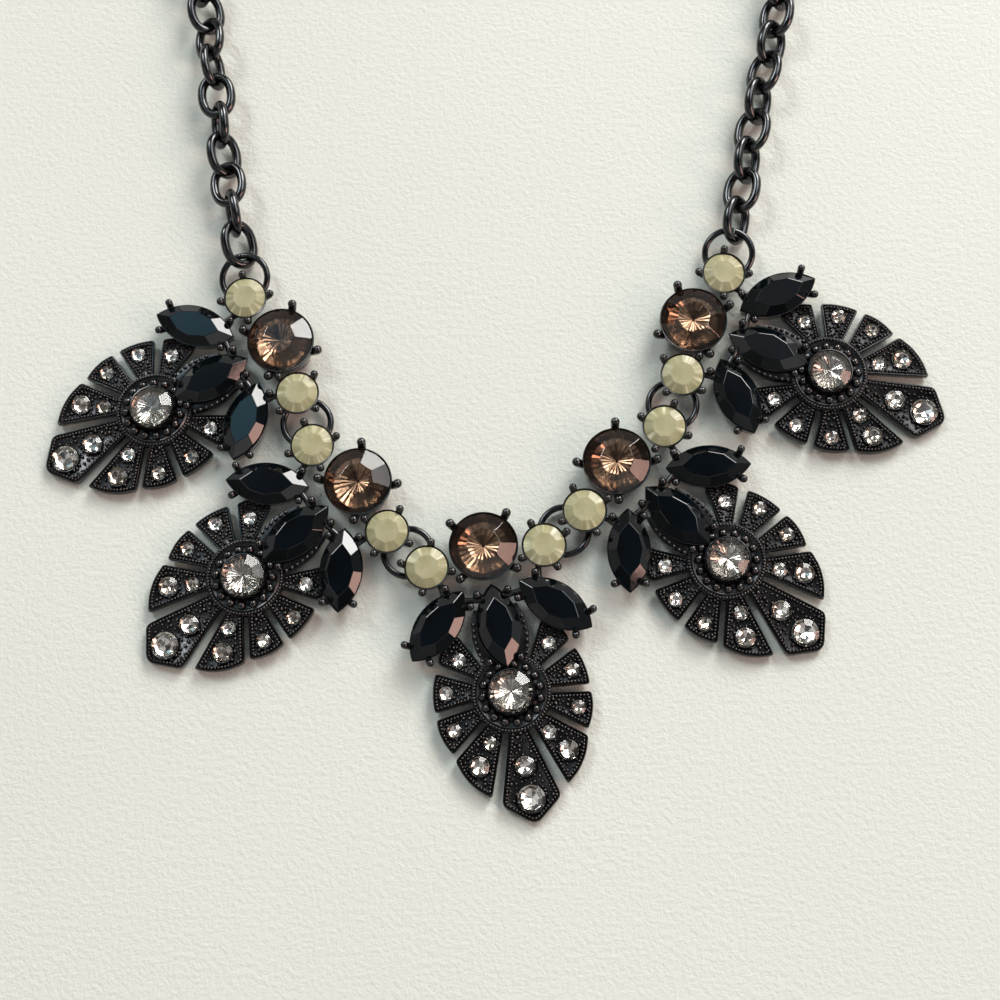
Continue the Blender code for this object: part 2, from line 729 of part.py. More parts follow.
def place_stations(group, stations, metal):
    """The castings and their stones."""
    brown = material("brown_glass", (0.30, 0.19, 0.14), 0.08, 0.0)
    opal = material("opal_glass", (0.72, 0.72, 0.52), 0.2, 0.0)
    black = material("black_glass", (0.01, 0.012, 0.016), 0.08, 0.0)
    clear = material("clear_glass", (0.78, 0.76, 0.74), 0.08, 0.0)
    casting = setting()
    brown_mesh = round_stone("brown", BROWN_RADIUS, BROWN_GIRDLE, BROWN_CROWN, BROWN_POINT, ROUND_SIDES)
    opal_mesh = round_stone("opal", OPAL_RADIUS, OPAL_GIRDLE, OPAL_CROWN, OPAL_POINT, SMALL_SIDES)
    clear_mesh = round_stone("clear", CLEAR_RADIUS, CLEAR_GIRDLE, CLEAR_CROWN, CLEAR_POINT, SMALL_SIDES)
    navette_mesh = navette_stone()
    stones = [
        ("brown", "", brown_mesh, brown, Matrix()),
        ("opal", "_left", opal_mesh, opal, at(opal_place(-1))),
        ("opal", "_right", opal_mesh, opal, at(opal_place(1))),
        ("clear", "", clear_mesh, clear, at(Vector((0, -HUB_DROP)), HUB_TURN)),
    ]
    for name, matrix in navette_matrices():
        stones.append(("navette", "_" + name, navette_mesh, black, matrix))
    for name, matrix in stations:
        place_object("setting_" + name, casting, group, matrix, metal)
        for kind, suffix, mesh, finish, local in stones:
            place_object(kind + "_" + name + suffix, mesh, group, matrix @ local, finish)


def place_chain(group, stations, ring, metal):
    """The end rings, both runs of chain and the clasp."""
    place = dict(stations)
    # The clasp's wires lie inside the last links, which lap over both its ends
    lap = {
        "left": (LINK_WIRE + HOOK_WIRE) / 2 + GAP - JOINT_TO_TIP,
        "right": (LINK_WIRE + CLASP_EYE_WIRE) / 2 + GAP - JOINT_TO_TIP,
    }
    ends = {}
    for side, sign in (("left", -1), ("right", 1)):
        last_opal = (place[side + "_end"] @ opal_place(sign).to_3d()).to_2d()
        toward_clasp = Vector(LOOP_TOP) + Vector((sign * (CLASP_SPAN / 2 - lap[side]), 0))
        joints, rolls, ring_tip = chain_joints(side, last_opal, toward_clasp)
        place_object("chain_" + side, chain_mesh(side, joints, rolls), group, None, metal)
        ends[side] = joints[-1] + Vector((sign * lap[side], 0, 0))
        toward = (ring_tip - last_opal).normalized()
        start = (ring_tip - toward * 2 * RING_RADIUS).to_3d() + Vector((0, 0, RING_HEIGHT))
        end = ring_tip.to_3d() + Vector((0, 0, joints[0].z))
        place_object("end_ring_" + side, ring, group, link_frame(start, end, END_RING_ROLL[side]), metal)
    place_object("clasp", clasp_mesh(ends["left"], ends["right"]), group, None, metal)


def build():
    clear_scene()
    group = new_collection("bib_necklace")
    metal = material("gunmetal", (0.05, 0.052, 0.056), 0.3, 1.0)
    stations = station_matrices()
    place_stations(group, stations, metal)
    ring = wire_loop("ring", RING_RADIUS, 0, RING_WIRE, RING_SIDES, WIRE_SIDES)
    for name, middle in ring_places(stations):
        lifted = Matrix.Translation(middle + Vector((0, 0, RING_HEIGHT)))
        place_object("ring_" + name, ring, group, lifted, metal)
    place_chain(group, stations, ring, metal)


build()
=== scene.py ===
"""Looks of the bib necklace: cast stations, cut stones, rings, chain and clasp, with floor, light and camera.

Shapes are worked out in millimetres and stored in metres. A station is drawn with its brown stone at
(0, 0) and its leaf pointing to -Y, then set on the CAD's station.
"""

import math
import random

import bmesh
import bpy
from mathutils import Matrix, Vector


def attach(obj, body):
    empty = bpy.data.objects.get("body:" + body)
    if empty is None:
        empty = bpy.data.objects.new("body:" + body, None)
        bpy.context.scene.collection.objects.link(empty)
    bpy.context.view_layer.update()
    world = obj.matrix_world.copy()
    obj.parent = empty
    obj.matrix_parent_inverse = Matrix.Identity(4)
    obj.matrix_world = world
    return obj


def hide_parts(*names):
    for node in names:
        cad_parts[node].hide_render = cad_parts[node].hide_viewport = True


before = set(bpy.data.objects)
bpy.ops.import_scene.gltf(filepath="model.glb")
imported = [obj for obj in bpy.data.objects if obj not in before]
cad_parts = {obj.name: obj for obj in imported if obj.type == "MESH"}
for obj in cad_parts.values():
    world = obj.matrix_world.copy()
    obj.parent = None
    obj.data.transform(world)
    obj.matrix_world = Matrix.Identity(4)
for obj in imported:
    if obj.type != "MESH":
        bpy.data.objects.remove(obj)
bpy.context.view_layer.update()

MM = 0.001
NAMES = ("middle", "right_mid", "right_end", "left_mid", "left_end")

# Round stones: radius, height of the girdle above the floor and of the crown above the girdle
BROWN = (5.45, 3.9, 1.7)
OPAL = (3.45, 4.0, 0.72)
CLEAR = (3.5, 4.5, 1.0)
NAVETTE_HALF = 6.95
NAVETTE_ACROSS = 3.45
NAVETTE_GIRDLE = 3.6
NAVETTE_CROWN = 1.2
NAVETTE_TURN = 44
# Share of a round stone's width that its flat top takes
BROWN_TABLE = 0.48
OPAL_TABLE = 0.56
CLEAR_TABLE = 0.52
PAVE_TABLE = 0.5
# Which way a crown facet of each brown stone looks, in degrees
FACET_TURN = {"middle": -17, "right_mid": 22, "right_end": -59, "left_mid": 55, "left_end": 24}
# Navettes that lean more than the rest: by how much, and the bearing of the axis in the stone's own plane
LOOSE = {("left_end", "right"): (1.8, 12), ("left_end", "middle"): (2.5, 183),
         ("left_mid", "right"): (3.5, 90), ("middle", "middle"): (2.6, 222)}

# Ball claws: radius of the head, its height over the girdle and how far down the post begins
BROWN_CLAW = (0.78, 0.35, 2.3)
OPAL_CLAW = (0.68, 0.25, 1.7)
NAVETTE_CLAW = (0.66, 0.35, 1.7)
BROWN_CLAW_REACH = 6.78
OPAL_CLAW_REACH = 4.35

# Leaf, drawn about its hub; an angle is from the tip
LEAF = 21.5
LEAF_THICKNESS = 1.3
LEAF_FALL = 0.0933
HUB = 6.6
HUB_TURN = 15
# Angle, and radius as a share of the leaf's length
LEAF_OUTLINE = (
    (0, 1.0), (16, 0.846), (21, 0.803), (36, 0.745), (51, 0.662), (55, 0.638),
    (68, 0.630), (83, 0.605), (100, 0.597), (113, 0.600), (150, 0.640),
)
# Angle of each slot, and its width at the hub and at the rim
LEAF_SLOTS = ((18.5, 0.95, 1.75), (52.5, 0.85, 0.95), (83.5, 0.9, 1.2), (118.0, 0.9, 1.3))
# Corners of the petal beside the navettes, as in the outline
SHOULDER = ((122, 0.26), (122, 0.605), (127, 0.623), (143, 0.67), (147.6, 0.598), (141, 0.26))
# Small stones of a leaf: across, down, radius; each is on both sides unless it is on the axis
PAVE = ((7.54, -17.80, 1.2), (10.58, -22.82, 1.2), (10.33, -29.03, 1.2), (4.92, -32.14, 1.2),
        (7.37, -35.41, 1.65), (0, -36.74, 1.65), (0, -41.99, 2.25))

# Beading along a petal's rim: radius of a bead, pitch, distance in from the edge and depth
RIM_BEAD, RIM_PITCH, RIM_INSET, RIM_SUNK = 0.26, 0.56, 0.60, 0.12
# Grains on a petal's floor: smallest and largest radius, and how many places are tried
GRAIN_SIZES = (0.22, 0.40)
GRAIN_TRIES = 400
# Grains that hold a small stone: radius, and how many
STONE_GRAIN = 0.31
STONE_GRAINS = 5
# Beads of the hub: how many, their radius, and the radius and height of their ring
HUB_BEADS = (15, 0.7, 4.74, 3.0)
HUB_ROPE = (74, 0.27, 6.2, 2.76)
# How far the ring of the larger beads sits off the hub's middle
HUB_BEADS_OFF = 0.12

# Rings and chain
RING_RADIUS = 4.1
RING_WIRE = 1.1
RING_HEIGHT = 1.38
END_RING_OUT = 0.42
END_RING_ROLL = {"left": 8, "right": 0}
GAP = 0.3
# The CAD's link, which the joints follow
LINK_LENGTH = 8.7
LINK_WIDTH = 7.0
LINK_WIRE = 1.5
# The link that is shown: length, width and wire
SHOWN_LINK = (8.95, 7.0, 1.62)
LINK_PITCH = LINK_LENGTH - 2 * LINK_WIRE + 0.12
JOINT_TO_TIP = (LINK_LENGTH - LINK_WIRE - LINK_PITCH) / 2
CHAIN_ROUTE = {
    "left": ((-43.3, 54.3), (-46.1, 67.0), (-49.0, 85.0), (-51.5, 99.9), (-53.9, 117.0), (-53.5, 136.0),
             (-47.0, 154.0), (-34.5, 168.0), (-19.0, 176.5)),
    "right": ((43.9, 58.0), (46.6, 72.2), (49.6, 86.2), (52.6, 98.5), (55.1, 116.0), (54.8, 135.0),
              (48.5, 153.5), (36.0, 168.0), (20.0, 176.5)),
}
SEEN_POINTS = 3
LOOP_TOP = (0.4, 180.0)
LINK_ROLLS = {
    "left": ((-36, 74, 14, -46, 66, 2, -68, 38, -28), (50, -36)),
    "right": ((-50, 28, -50, 32, -50, 38, -48, 36), (-48, 38)),
}
HOOK_RADIUS = 2.6
HOOK_STRETCH = 1.8
HOOK_WIRE = 1.9
CLASP_EYE_RADIUS = 2.1
CLASP_EYE_WIRE = 1.3
CLASP_ROLL = 25
HOOK_SPAN = 2 * (HOOK_RADIUS + HOOK_STRETCH)
CLASP_EYE_SPAN = 2 * CLASP_EYE_RADIUS
CLASP_SPAN = HOOK_SPAN + CLASP_EYE_SPAN - (HOOK_WIRE + CLASP_EYE_WIRE) / 4

# Floor, lamps and camera, in metres and degrees
FLOOR_HALF = 5.0
# Name, bearing from +X, height above the floor, width, strength and colour
LAMPS = (
    ("key", 62, 28, 26, 2.02, (1.0, 0.985, 0.95)),
    ("fill", 131, 42, 18, 0.85, (0.92, 0.98, 1.0)),
    ("warm", -14, 28, 24, 0.95, (1.0, 0.60, 0.50)),
)
NEAR_PLACE = (0.36, 0.40, 0.48)
NEAR_SIZE = 0.4
NEAR_WATTS = 1.6
# The sky's tone by the height of the view, from the horizon up
SKY = (
    (0.0, (0.43, 0.42, 0.41)), (0.27, (0.41, 0.40, 0.39)), (0.36, (0.09, 0.088, 0.085)),
    (0.55, (0.12, 0.118, 0.115)), (0.65, (0.43, 0.42, 0.41)), (0.86, (0.45, 0.455, 0.46)),
    (0.955, (0.03, 0.03, 0.035)),
)
GLOW_TOWARD = (-0.26, 0.43, 0.87)
GLOW = ((0.980, (0, 0, 0)), (0.997, (0.15, 0.60, 0.85)))
CAMERA_PLACE = (0.010588, -0.053304, 0.254851)
CAMERA_TILT = (13.6953, 1.7438, 0.2094)
LENS_LENGTH = 55.552
SENSOR_WIDTH = 36.0

random.seed(7)


# Where the CAD has things

def centre(node):
    """Middle of a CAD node's corners, in millimetres."""
    spots = [corner.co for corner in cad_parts[node].data.vertices]
    return sum(spots, Vector()) / len(spots) / MM


def at(x, y, degrees=0.0, z=0.0):
    return Matrix.Translation((x, y, z)) @ Matrix.Rotation(math.radians(degrees), 4, "Z")


def station_place(name):
    origin = centre("brown_" + name)
    down = centre("clear_" + name) - origin
    return at(origin.x, origin.y, math.degrees(math.atan2(down.y, down.x)) + 90)


STATION = {name: station_place(name) for name in NAMES}
TO_MIDDLE = STATION["middle"].inverted()


def local(node):
    """A node's middle in the middle station's own frame."""
    spot = TO_MIDDLE @ centre(node)
    return Vector((spot.x, spot.y))


OPALS = {side: local("opal_middle_" + side) for side in ("left", "right")}
SIDE_NAVETTES = {side: local("navette_middle_" + side) for side in ("left", "right")}
MIDDLE_NAVETTE = local("navette_middle_middle")
HUB_DROP = -local("clear_middle").y


def circle(count):
    """Even directions all round, as unit (x, y) pairs."""
    return [(math.cos(2 * math.pi * k / count), math.sin(2 * math.pi * k / count)) for k in range(count)]


def direction(degrees):
    turn = math.radians(degrees)
    return Vector((math.cos(turn), math.sin(turn)))


# Shapes gathered as corners and faces

class Shape:
    def __init__(self):
        self.corners = []
        self.faces = []

    def add(self, corners, faces, matrix=None):
        start = len(self.corners)
        self.corners += [matrix @ Vector(spot) if matrix else Vector(spot) for spot in corners]
        self.faces += [[start + index for index in face] for face in faces]

    def loft(self, rings, matrix=None, first=True, last=True):
        """Closed rings of equal count joined in order, capped at the ends that are asked for."""
        count = len(rings[0])
        corners = [spot for ring in rings for spot in ring]
        faces = []
        for row in range(len(rings) - 1):
            for step in range(count):
                after = (step + 1) % count
                faces.append((row * count + step, row * count + after, (row + 1) * count + after,
                              (row + 1) * count + step))
        if first:
            faces.append(tuple(reversed(range(count))))
        if last:
            faces.append(tuple((len(rings) - 1) * count + step for step in range(count)))
        self.add(corners, faces, matrix)

    def lathe(self, profile, sides, matrix=None):
        """Turned about Z from (radius, height) pairs; the first and last only say where the axis is met."""
        self.loft([[(radius * x, radius * y, height) for x, y in circle(sides)]
                   for radius, height in profile[1:-1]], matrix)

    def tube(self, path, radii, sides=10, closed=False, matrix=None):
        """A round bar along a path; radii is one number or one for each point."""
        path = [Vector(spot) for spot in path]
        count = len(path)
        if not isinstance(radii, (list, tuple)):
            radii = [radii] * count
        rings = []
        normal = None
        for index, spot in enumerate(path):
            if closed:
                along = path[(index + 1) % count] - path[index - 1]
            else:
                along = path[min(index + 1, count - 1)] - path[max(index - 1, 0)]
            along.normalize()
            if normal is None:
                normal = along.orthogonal().normalized()
            normal = (normal - along * normal.dot(along)).normalized()
            other = along.cross(normal)
            rings.append([spot + (normal * x + other * y) * radii[index] for x, y in circle(sides)])
        if closed:
            rings.append(rings[0])
        self.loft(rings, matrix, not closed, not closed)

    def ball(self, spot, radius, sides=10, rows=6, low=-90, squash=1.0):
        """A ball, or the part of one above a latitude."""
        rings = []
        for row in range(rows + 1):
            tilt = math.radians(low + (88 - low) * row / rows)
            reach = radius * math.cos(tilt)
            height = radius * squash * math.sin(tilt)
            rings.append([Vector(spot) + Vector((reach * x, reach * y, height)) for x, y in circle(sides)])
        self.loft(rings)

    def mesh(self, name, angle=35.0):
        mesh = bpy.data.meshes.new(name)
        mesh.from_pydata(self.corners, [], self.faces)
        bm = bmesh.new()
        bm.from_mesh(mesh)
        bmesh.ops.remove_doubles(bm, verts=bm.verts, dist=0.0005)
        bmesh.ops.recalc_face_normals(bm, faces=bm.faces)
        return finished(bm, mesh, angle)


def finished(bm, mesh, angle):
    """The mesh in metres, smooth except at edges sharper than the angle."""
    bmesh.ops.scale(bm, vec=(MM, MM, MM), verts=bm.verts)
    bm.to_mesh(mesh)
    bm.free()
    mesh.shade_smooth()
    mesh.set_sharp_from_angle(angle=math.radians(angle))
    return mesh


def piece(name, mesh, finishes, matrix=None, replaces=()):
    """A shown object that rides on the part."""
    item = bpy.data.objects.new(name, mesh)
    bpy.context.scene.collection.objects.link(item)
    if matrix is not None:
        place = matrix.copy()
        place.translation = place.translation * MM
        item.matrix_world = place
    if not mesh.materials:
        for finish in finishes:
            mesh.materials.append(finish)
    bpy.context.view_layer.update()
    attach(item, "root")
    if replaces:
        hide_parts(*replaces)
    return item


# Materials

def node_tree(name):
    finish = bpy.data.materials.new(name)
    finish.use_nodes = True
    tree = finish.node_tree
    return finish, tree, tree.nodes["Principled BSDF"]


def noise(tree, scale, detail=3.0, roughness=0.5, spot=None):
    """Noise in the piece's own coordinates, or at the spot; the scale is in features to the metre."""
    texture = tree.nodes.new("ShaderNodeTexNoise")
    texture.inputs["Scale"].default_value = scale
    texture.inputs["Detail"].default_value = detail
    texture.inputs["Roughness"].default_value = roughness
    tree.links.new(spot or tree.nodes.new("ShaderNodeTexCoord").outputs["Object"], texture.inputs["Vector"])
    return texture.outputs["Fac"]


def ramp(tree, value, stops):
    node = tree.nodes.new("ShaderNodeValToRGB")
    elements = node.color_ramp.elements
    while len(elements) < len(stops):
        elements.new(0.5)
    for element, (place, color) in zip(elements, stops):
        element.position = place
        element.color = (*color, 1)
    tree.links.new(value, node.inputs["Fac"])
    return node.outputs["Color"]


def spread(tree, value, low, high, start=0.0, end=1.0):
    """The value's range from start to end mapped on to another one."""
    node = tree.nodes.new("ShaderNodeMapRange")
    for socket, number in (("From Min", start), ("From Max", end), ("To Min", low), ("To Max", high)):
        node.inputs[socket].default_value = number
    tree.links.new(value, node.inputs["Value"])
    return node.outputs["Result"]


def mixed(tree, share, first, second):
    """Two tones mixed by a share, or multiplied where the share is None."""
    node = tree.nodes.new("ShaderNodeMix")
    node.data_type = "RGBA"
    if share is None:
        node.blend_type = "MULTIPLY"
        node.inputs["Factor"].default_value = 1.0
    else:
        tree.links.new(share, node.inputs["Factor"])
    tree.links.new(first, node.inputs[6])
    tree.links.new(second, node.inputs[7])
    return node.outputs[2]


def math_node(tree, operation, first, second):
    node = tree.nodes.new("ShaderNodeMath")
    node.operation = operation
    tree.links.new(first, node.inputs[0])
    tree.links.new(second, node.inputs[1])
    return node.outputs[0]


def bump(tree, shader, height, strength, distance):
    node = tree.nodes.new("ShaderNodeBump")
    node.inputs["Strength"].default_value = strength
    node.inputs["Distance"].default_value = distance
    tree.links.new(height, node.inputs["Height"])
    tree.links.new(node.outputs["Normal"], shader.inputs["Normal"])


def gunmetal(name, dark, light, rough, grain):
    """Dark plated metal: blotchy tone, recesses blackened by painted shade and made duller, brighter worn
    ridges, fine grain.
    """
    finish, tree, shader = node_tree(name)
    blotch = ramp(tree, noise(tree, 450.0), ((0.3, dark), (0.75, tuple(1.7 * tone for tone in dark))))
    pointy = tree.nodes.new("ShaderNodeNewGeometry").outputs["Pointiness"]
    worn = ramp(tree, pointy, ((0.53, (0, 0, 0)), (0.62, (1, 1, 1))))
    bright = ramp(tree, noise(tree, 1500.0), ((0.35, tuple(0.6 * tone for tone in light)), (0.7, light)))
    # Painted shade: ambient occlusion within 0.9 mm darkens the base colour in recesses and between parts,
    # down to 0.12 of it; the same occlusion also makes them duller
    recess_painted_shade = tree.nodes.new("ShaderNodeAmbientOcclusion")
    recess_painted_shade.samples = 6
    recess_painted_shade.inputs["Distance"].default_value = 0.0009
    shade = ramp(tree, recess_painted_shade.outputs["AO"], ((0.25, (0.12, 0.12, 0.12)), (0.85, (1, 1, 1))))
    tone = mixed(tree, None, mixed(tree, worn, blotch, bright), shade)
    tree.links.new(tone, shader.inputs["Base Color"])
    dull = spread(tree, recess_painted_shade.outputs["AO"], 0.34, 0.0, 0.55, 0.95)
    polish = spread(tree, noise(tree, 1200.0, 4.0), *rough)
    tree.links.new(math_node(tree, "ADD", polish, dull), shader.inputs["Roughness"])
    shader.inputs["Metallic"].default_value = 1.0
    bump(tree, shader, noise(tree, 3500.0, 3.0), grain, 0.00008)
    return finish


def glass(name, tint):
    """Clear glass, nearly even in tint and gloss."""
    finish, tree, shader = node_tree(name)
    shade = ramp(tree, noise(tree, 250.0, 1.0), ((0.3, tint), (0.7, tuple(min(1, 1.08 * t) for t in tint))))
    tree.links.new(shade, shader.inputs["Base Color"])
    shader.inputs["Transmission Weight"].default_value = 1.0
    shader.inputs["IOR"].default_value = 1.5
    tree.links.new(spread(tree, noise(tree, 1800.0), 0.01, 0.03), shader.inputs["Roughness"])
    bump(tree, shader, noise(tree, 900.0, 1.0), 0.01, 0.00005)
    return finish


def foil(name, dark, light, rough, scale=500.0):
    """The mirror on a stone's back, uneven in tone."""
    finish, tree, shader = node_tree(name)
    tree.links.new(ramp(tree, noise(tree, scale, 2.0), ((0.35, dark), (0.65, light))),
                   shader.inputs["Base Color"])
    shader.inputs["Metallic"].default_value = 1.0
    tree.links.new(spread(tree, noise(tree, 1300.0), *rough), shader.inputs["Roughness"])
    return finish


def black_glass():
    """Polished black, here and there a little blue."""
    finish, tree, shader = node_tree("black_stone")
    shade = ramp(tree, noise(tree, 120.0, 1.0), ((0.35, (0.001, 0.002, 0.002)), (0.7, (0.002, 0.005, 0.009))))
    tree.links.new(shade, shader.inputs["Base Color"])
    tree.links.new(spread(tree, noise(tree, 1500.0), 0.02, 0.09), shader.inputs["Roughness"])
    shader.inputs["IOR"].default_value = 1.6
    bump(tree, shader, noise(tree, 700.0, 2.0), 0.04, 0.00005)
    return finish


def opal_glass():
    """Milky glass: a cloudy middle, and flecks that run outwards near the rim."""
    finish, tree, shader = node_tree("opal_stone")
    split = tree.nodes.new("ShaderNodeSeparateXYZ")
    tree.links.new(tree.nodes.new("ShaderNodeTexCoord").outputs["Object"], split.inputs[0])

    def joined(across, along):
        node = tree.nodes.new("ShaderNodeCombineXYZ")
        tree.links.new(across, node.inputs["X"])
        tree.links.new(along, node.inputs["Y"])
        return node.outputs[0]

    length = tree.nodes.new("ShaderNodeVectorMath")
    length.operation = "LENGTH"
    tree.links.new(joined(split.outputs["X"], split.outputs["Y"]), length.inputs[0])
    angle = math_node(tree, "ARCTAN2", split.outputs["Y"], split.outputs["X"])
    spin = joined(angle, tree.nodes.new("ShaderNodeObjectInfo").outputs["Random"])
    streak = ramp(tree, noise(tree, 3.2, spot=spin), ((0.40, (0.38, 0.36, 0.21)), (0.55, (0.44, 0.42, 0.25)),
                                                      (0.68, (0.78, 0.76, 0.55))))
    cloud = ramp(tree, noise(tree, 420.0), ((0.3, (0.39, 0.37, 0.22)), (0.7, (0.51, 0.49, 0.32))))
    reach = spread(tree, length.outputs["Value"], 0.0, 1.0, 0.0015, 0.0030)
    tree.links.new(mixed(tree, reach, cloud, streak), shader.inputs["Base Color"])
    tree.links.new(spread(tree, noise(tree, 1500.0), 0.12, 0.25), shader.inputs["Roughness"])
    shader.inputs["Subsurface Weight"].default_value = 0.7
    shader.inputs["Subsurface Radius"].default_value = (0.0014, 0.0014, 0.0009)
    shader.inputs["IOR"].default_value = 1.42
    shader.inputs["Specular IOR Level"].default_value = 0.3
    bump(tree, shader, noise(tree, 600.0, 2.0), 0.05, 0.0001)
    return finish


CAST = gunmetal("cast_gunmetal", (0.050, 0.050, 0.052), (0.13, 0.125, 0.12), (0.09, 0.22), 0.30)
WIRE = gunmetal("wire_gunmetal", (0.048, 0.049, 0.051), (0.12, 0.12, 0.12), (0.09, 0.20), 0.12)
BROWN_GLASS = glass("brown_glass", (0.80, 0.62, 0.478))
BROWN_FOIL = foil("brown_foil", (0.22, 0.17, 0.14), (0.36, 0.30, 0.25), (0.06, 0.17))
CLEAR_GLASS = glass("clear_glass", (0.97, 0.97, 0.96))
CLEAR_FOIL = foil("clear_foil", (0.38, 0.36, 0.33), (0.58, 0.55, 0.51), (0.08, 0.20))
PAVE_FOIL = foil("pave_foil", (0.50, 0.45, 0.40), (0.95, 0.93, 0.89), (0.01, 0.09), 350.0)
BLACK = black_glass()
OPAL_GLASS = opal_glass()


# Stones, ground from a blank by planes

def ground(bm, spot, normal):
    """Grinds away what lies beyond a plane and closes the cut."""
    bmesh.ops.bisect_plane(bm, geom=bm.verts[:] + bm.edges[:] + bm.faces[:], dist=0.0001, plane_co=spot,
                           plane_no=normal, clear_outer=True)
    rim = [edge for edge in bm.edges if edge.is_boundary]
    if rim:
        bmesh.ops.contextual_create(bm, geom=rim)


def gem(name, outline, normals, girdle, crown, back, cuts, wear=0.05):
    """A stone ground to its facets, which the second finish takes where they look down.

    The blank's back is given as rings of points. Each cut is an index of the outline, how far in from it
    and how high the plane passes, and its slope in degrees, which is negative for a facet of the back.
    The edges of the crown are worn a little.
    """
    shape = Shape()
    shape.loft(back + [[(x, y, girdle + crown) for x, y in outline]])
    mesh = bpy.data.meshes.new(name)
    mesh.from_pydata(shape.corners, [], shape.faces)
    bm = bmesh.new()
    bm.from_mesh(mesh)
    bmesh.ops.recalc_face_normals(bm, faces=bm.faces)
    for index, inset, height, slope in cuts:
        outward = Vector((*normals[index], 0))
        spot = Vector((*outline[index], girdle + height)) - outward * inset
        tilt = math.radians(abs(slope))
        ground(bm, spot, outward * math.sin(tilt) + Vector((0, 0, math.copysign(math.cos(tilt), slope))))
    bmesh.ops.recalc_face_normals(bm, faces=bm.faces)
    ridges = [edge for edge in bm.edges if all(face.normal.z > 0.05 for face in edge.link_faces)]
    bmesh.ops.bevel(bm, geom=ridges, offset=wear, segments=1, affect="EDGES")
    bm.normal_update()
    for face in bm.faces:
        face.material_index = 1 if face.normal.z < -0.05 else 0
    bmesh.ops.scale(bm, vec=(MM, MM, MM), verts=bm.verts)
    bm.to_mesh(mesh)
    bm.free()
    return mesh


def round_blank(radius, steps, table, crown):
    """Outline of a round stone with its normals, and the cuts of its 8 crown facets."""
    normals = circle(steps)
    outline = [(radius * x, radius * y) for x, y in normals]
    edge = 0.012 * radius
    rise = math.degrees(math.atan((crown - edge) / (radius * (1 - table))))
    return outline, normals, edge, [(steps // 16 + k * steps // 8, 0, edge, rise) for k in range(8)]


def round_gem(name, size, table, slopes=(11.5, 13.0)):
    """A round stone with a back of 16 short facets and 8 long ones."""
    radius, girdle, crown = size
    outline, normals, edge, cuts = round_blank(radius, 32, table, crown)
    long, short = (math.tan(math.radians(slope)) for slope in slopes)
    turn = math.pi / 16
    depth = radius * (0.23 * math.cos(2 * turn) * long + (1 - 0.23 * math.cos(turn)) * short) + edge
    cuts += [(2 * k + 1, 0, -edge, -slopes[1] - (0, 1.2, -0.6, 0.7)[k % 4]) for k in range(16)]
    cuts += [(4 * k, radius, -depth, -slopes[0]) for k in range(8)]
    back = [[(x, y, girdle - 1.2 * depth) for x, y in outline]]
    return gem(name, outline, normals, girdle, crown, back, cuts, 0.01 * radius)


# Rings of a rayed back: radius and depth below the girdle, as shares of the stone's radius
STAR_BACK = ((0.05, 0.205), (0.34, 0.155), (1.0, 0.012))


def star_gem(name, size, table, flute):
    """A round stone whose back is a shallow cone of narrow rays, which lean to either side in turn."""
    radius, girdle, crown = size
    steps = 48
    outline, normals, _, cuts = round_blank(radius, steps, table, crown)
    wave = math.tan(math.radians(flute)) * 2 * math.pi / steps
    back = []
    for share, depth in STAR_BACK:
        back.append([(share * x, share * y, girdle - radius * (depth + share * wave * (k % 2)))
                     for k, (x, y) in enumerate(outline)])
    return gem(name, outline, normals, girdle, crown, back, cuts, 0.01 * radius)


def navette_outline(grow, steps):
    """Two arcs that meet in a tip at each end, along X, set off outwards by grow."""
    arc = (NAVETTE_HALF ** 2 + NAVETTE_ACROSS ** 2) / (2 * NAVETTE_ACROSS)
    middle = arc - NAVETTE_ACROSS
    reach = math.acos(middle / (arc + grow))
    found = []
    for side in (1, -1):
        for step in range(steps):
            turn = reach * (1 - 2 * step / steps)
            spot = ((arc + grow) * math.sin(turn), (arc + grow) * math.cos(turn) - middle)
            found.append((side * spot[0], side * spot[1]))
    return found


def navette_gem():
    steps = 32
    outline = navette_outline(0, steps)
    arc = (NAVETTE_HALF ** 2 + NAVETTE_ACROSS ** 2) / (2 * NAVETTE_ACROSS)
    middle = arc - NAVETTE_ACROSS
    normals = []
    for index, (x, y) in enumerate(outline):
        side = 1 if index < steps else -1
        normals.append(Vector((x, y + side * middle)).normalized().to_tuple())
    cuts = []
    for side in (0, steps):
        cuts += [(side + step, 0, 0.05, slope) for step, slope in ((4, 33), (12, 39), (20, 39), (28, 33))]
        cuts += [(side + step, 0, -0.1, -20) for step in (6, 16, 26)]
    back = [[(x, y, NAVETTE_GIRDLE - 1.3) for x, y in outline]]
    return gem("navette", outline, normals, NAVETTE_GIRDLE, NAVETTE_CROWN, back, cuts)


# Casting

def leaf_top(radius):
    return LEAF_THICKNESS + LEAF_FALL * (LEAF - radius)


def leaf_edge(degrees):
    for (low, near), (high, far) in zip(LEAF_OUTLINE, LEAF_OUTLINE[1:]):
        if degrees <= high:
            return (near + (far - near) * (degrees - low) / (high - low)) * LEAF
    return LEAF_OUTLINE[-1][1] * LEAF


def leaf_spot(degrees, radius):
    """A leaf point about the hub, from its angle from the tip."""
    turn = math.radians(degrees)
    return Vector((radius * math.sin(turn), -radius * math.cos(turn)))


def set_in(corners, distance):
    """The polygon's edges moved inwards by a distance."""
    found = []
    count = len(corners)
    area = sum(a.x * b.y - b.x * a.y for a, b in zip(corners, corners[1:] + corners[:1]))
    turn = 1 if area > 0 else -1
    for index in range(count):
        before, here, after = corners[index - 1], corners[index], corners[(index + 1) % count]
        first = (here - before).normalized()
        second = (after - here).normalized()
        inward = Vector((-first.y, first.x)) * turn
        other = Vector((-second.y, second.x)) * turn
        bisector = (inward + other).normalized()
        found.append(here + bisector * (distance / max(bisector.dot(inward), 0.3)))
    return found


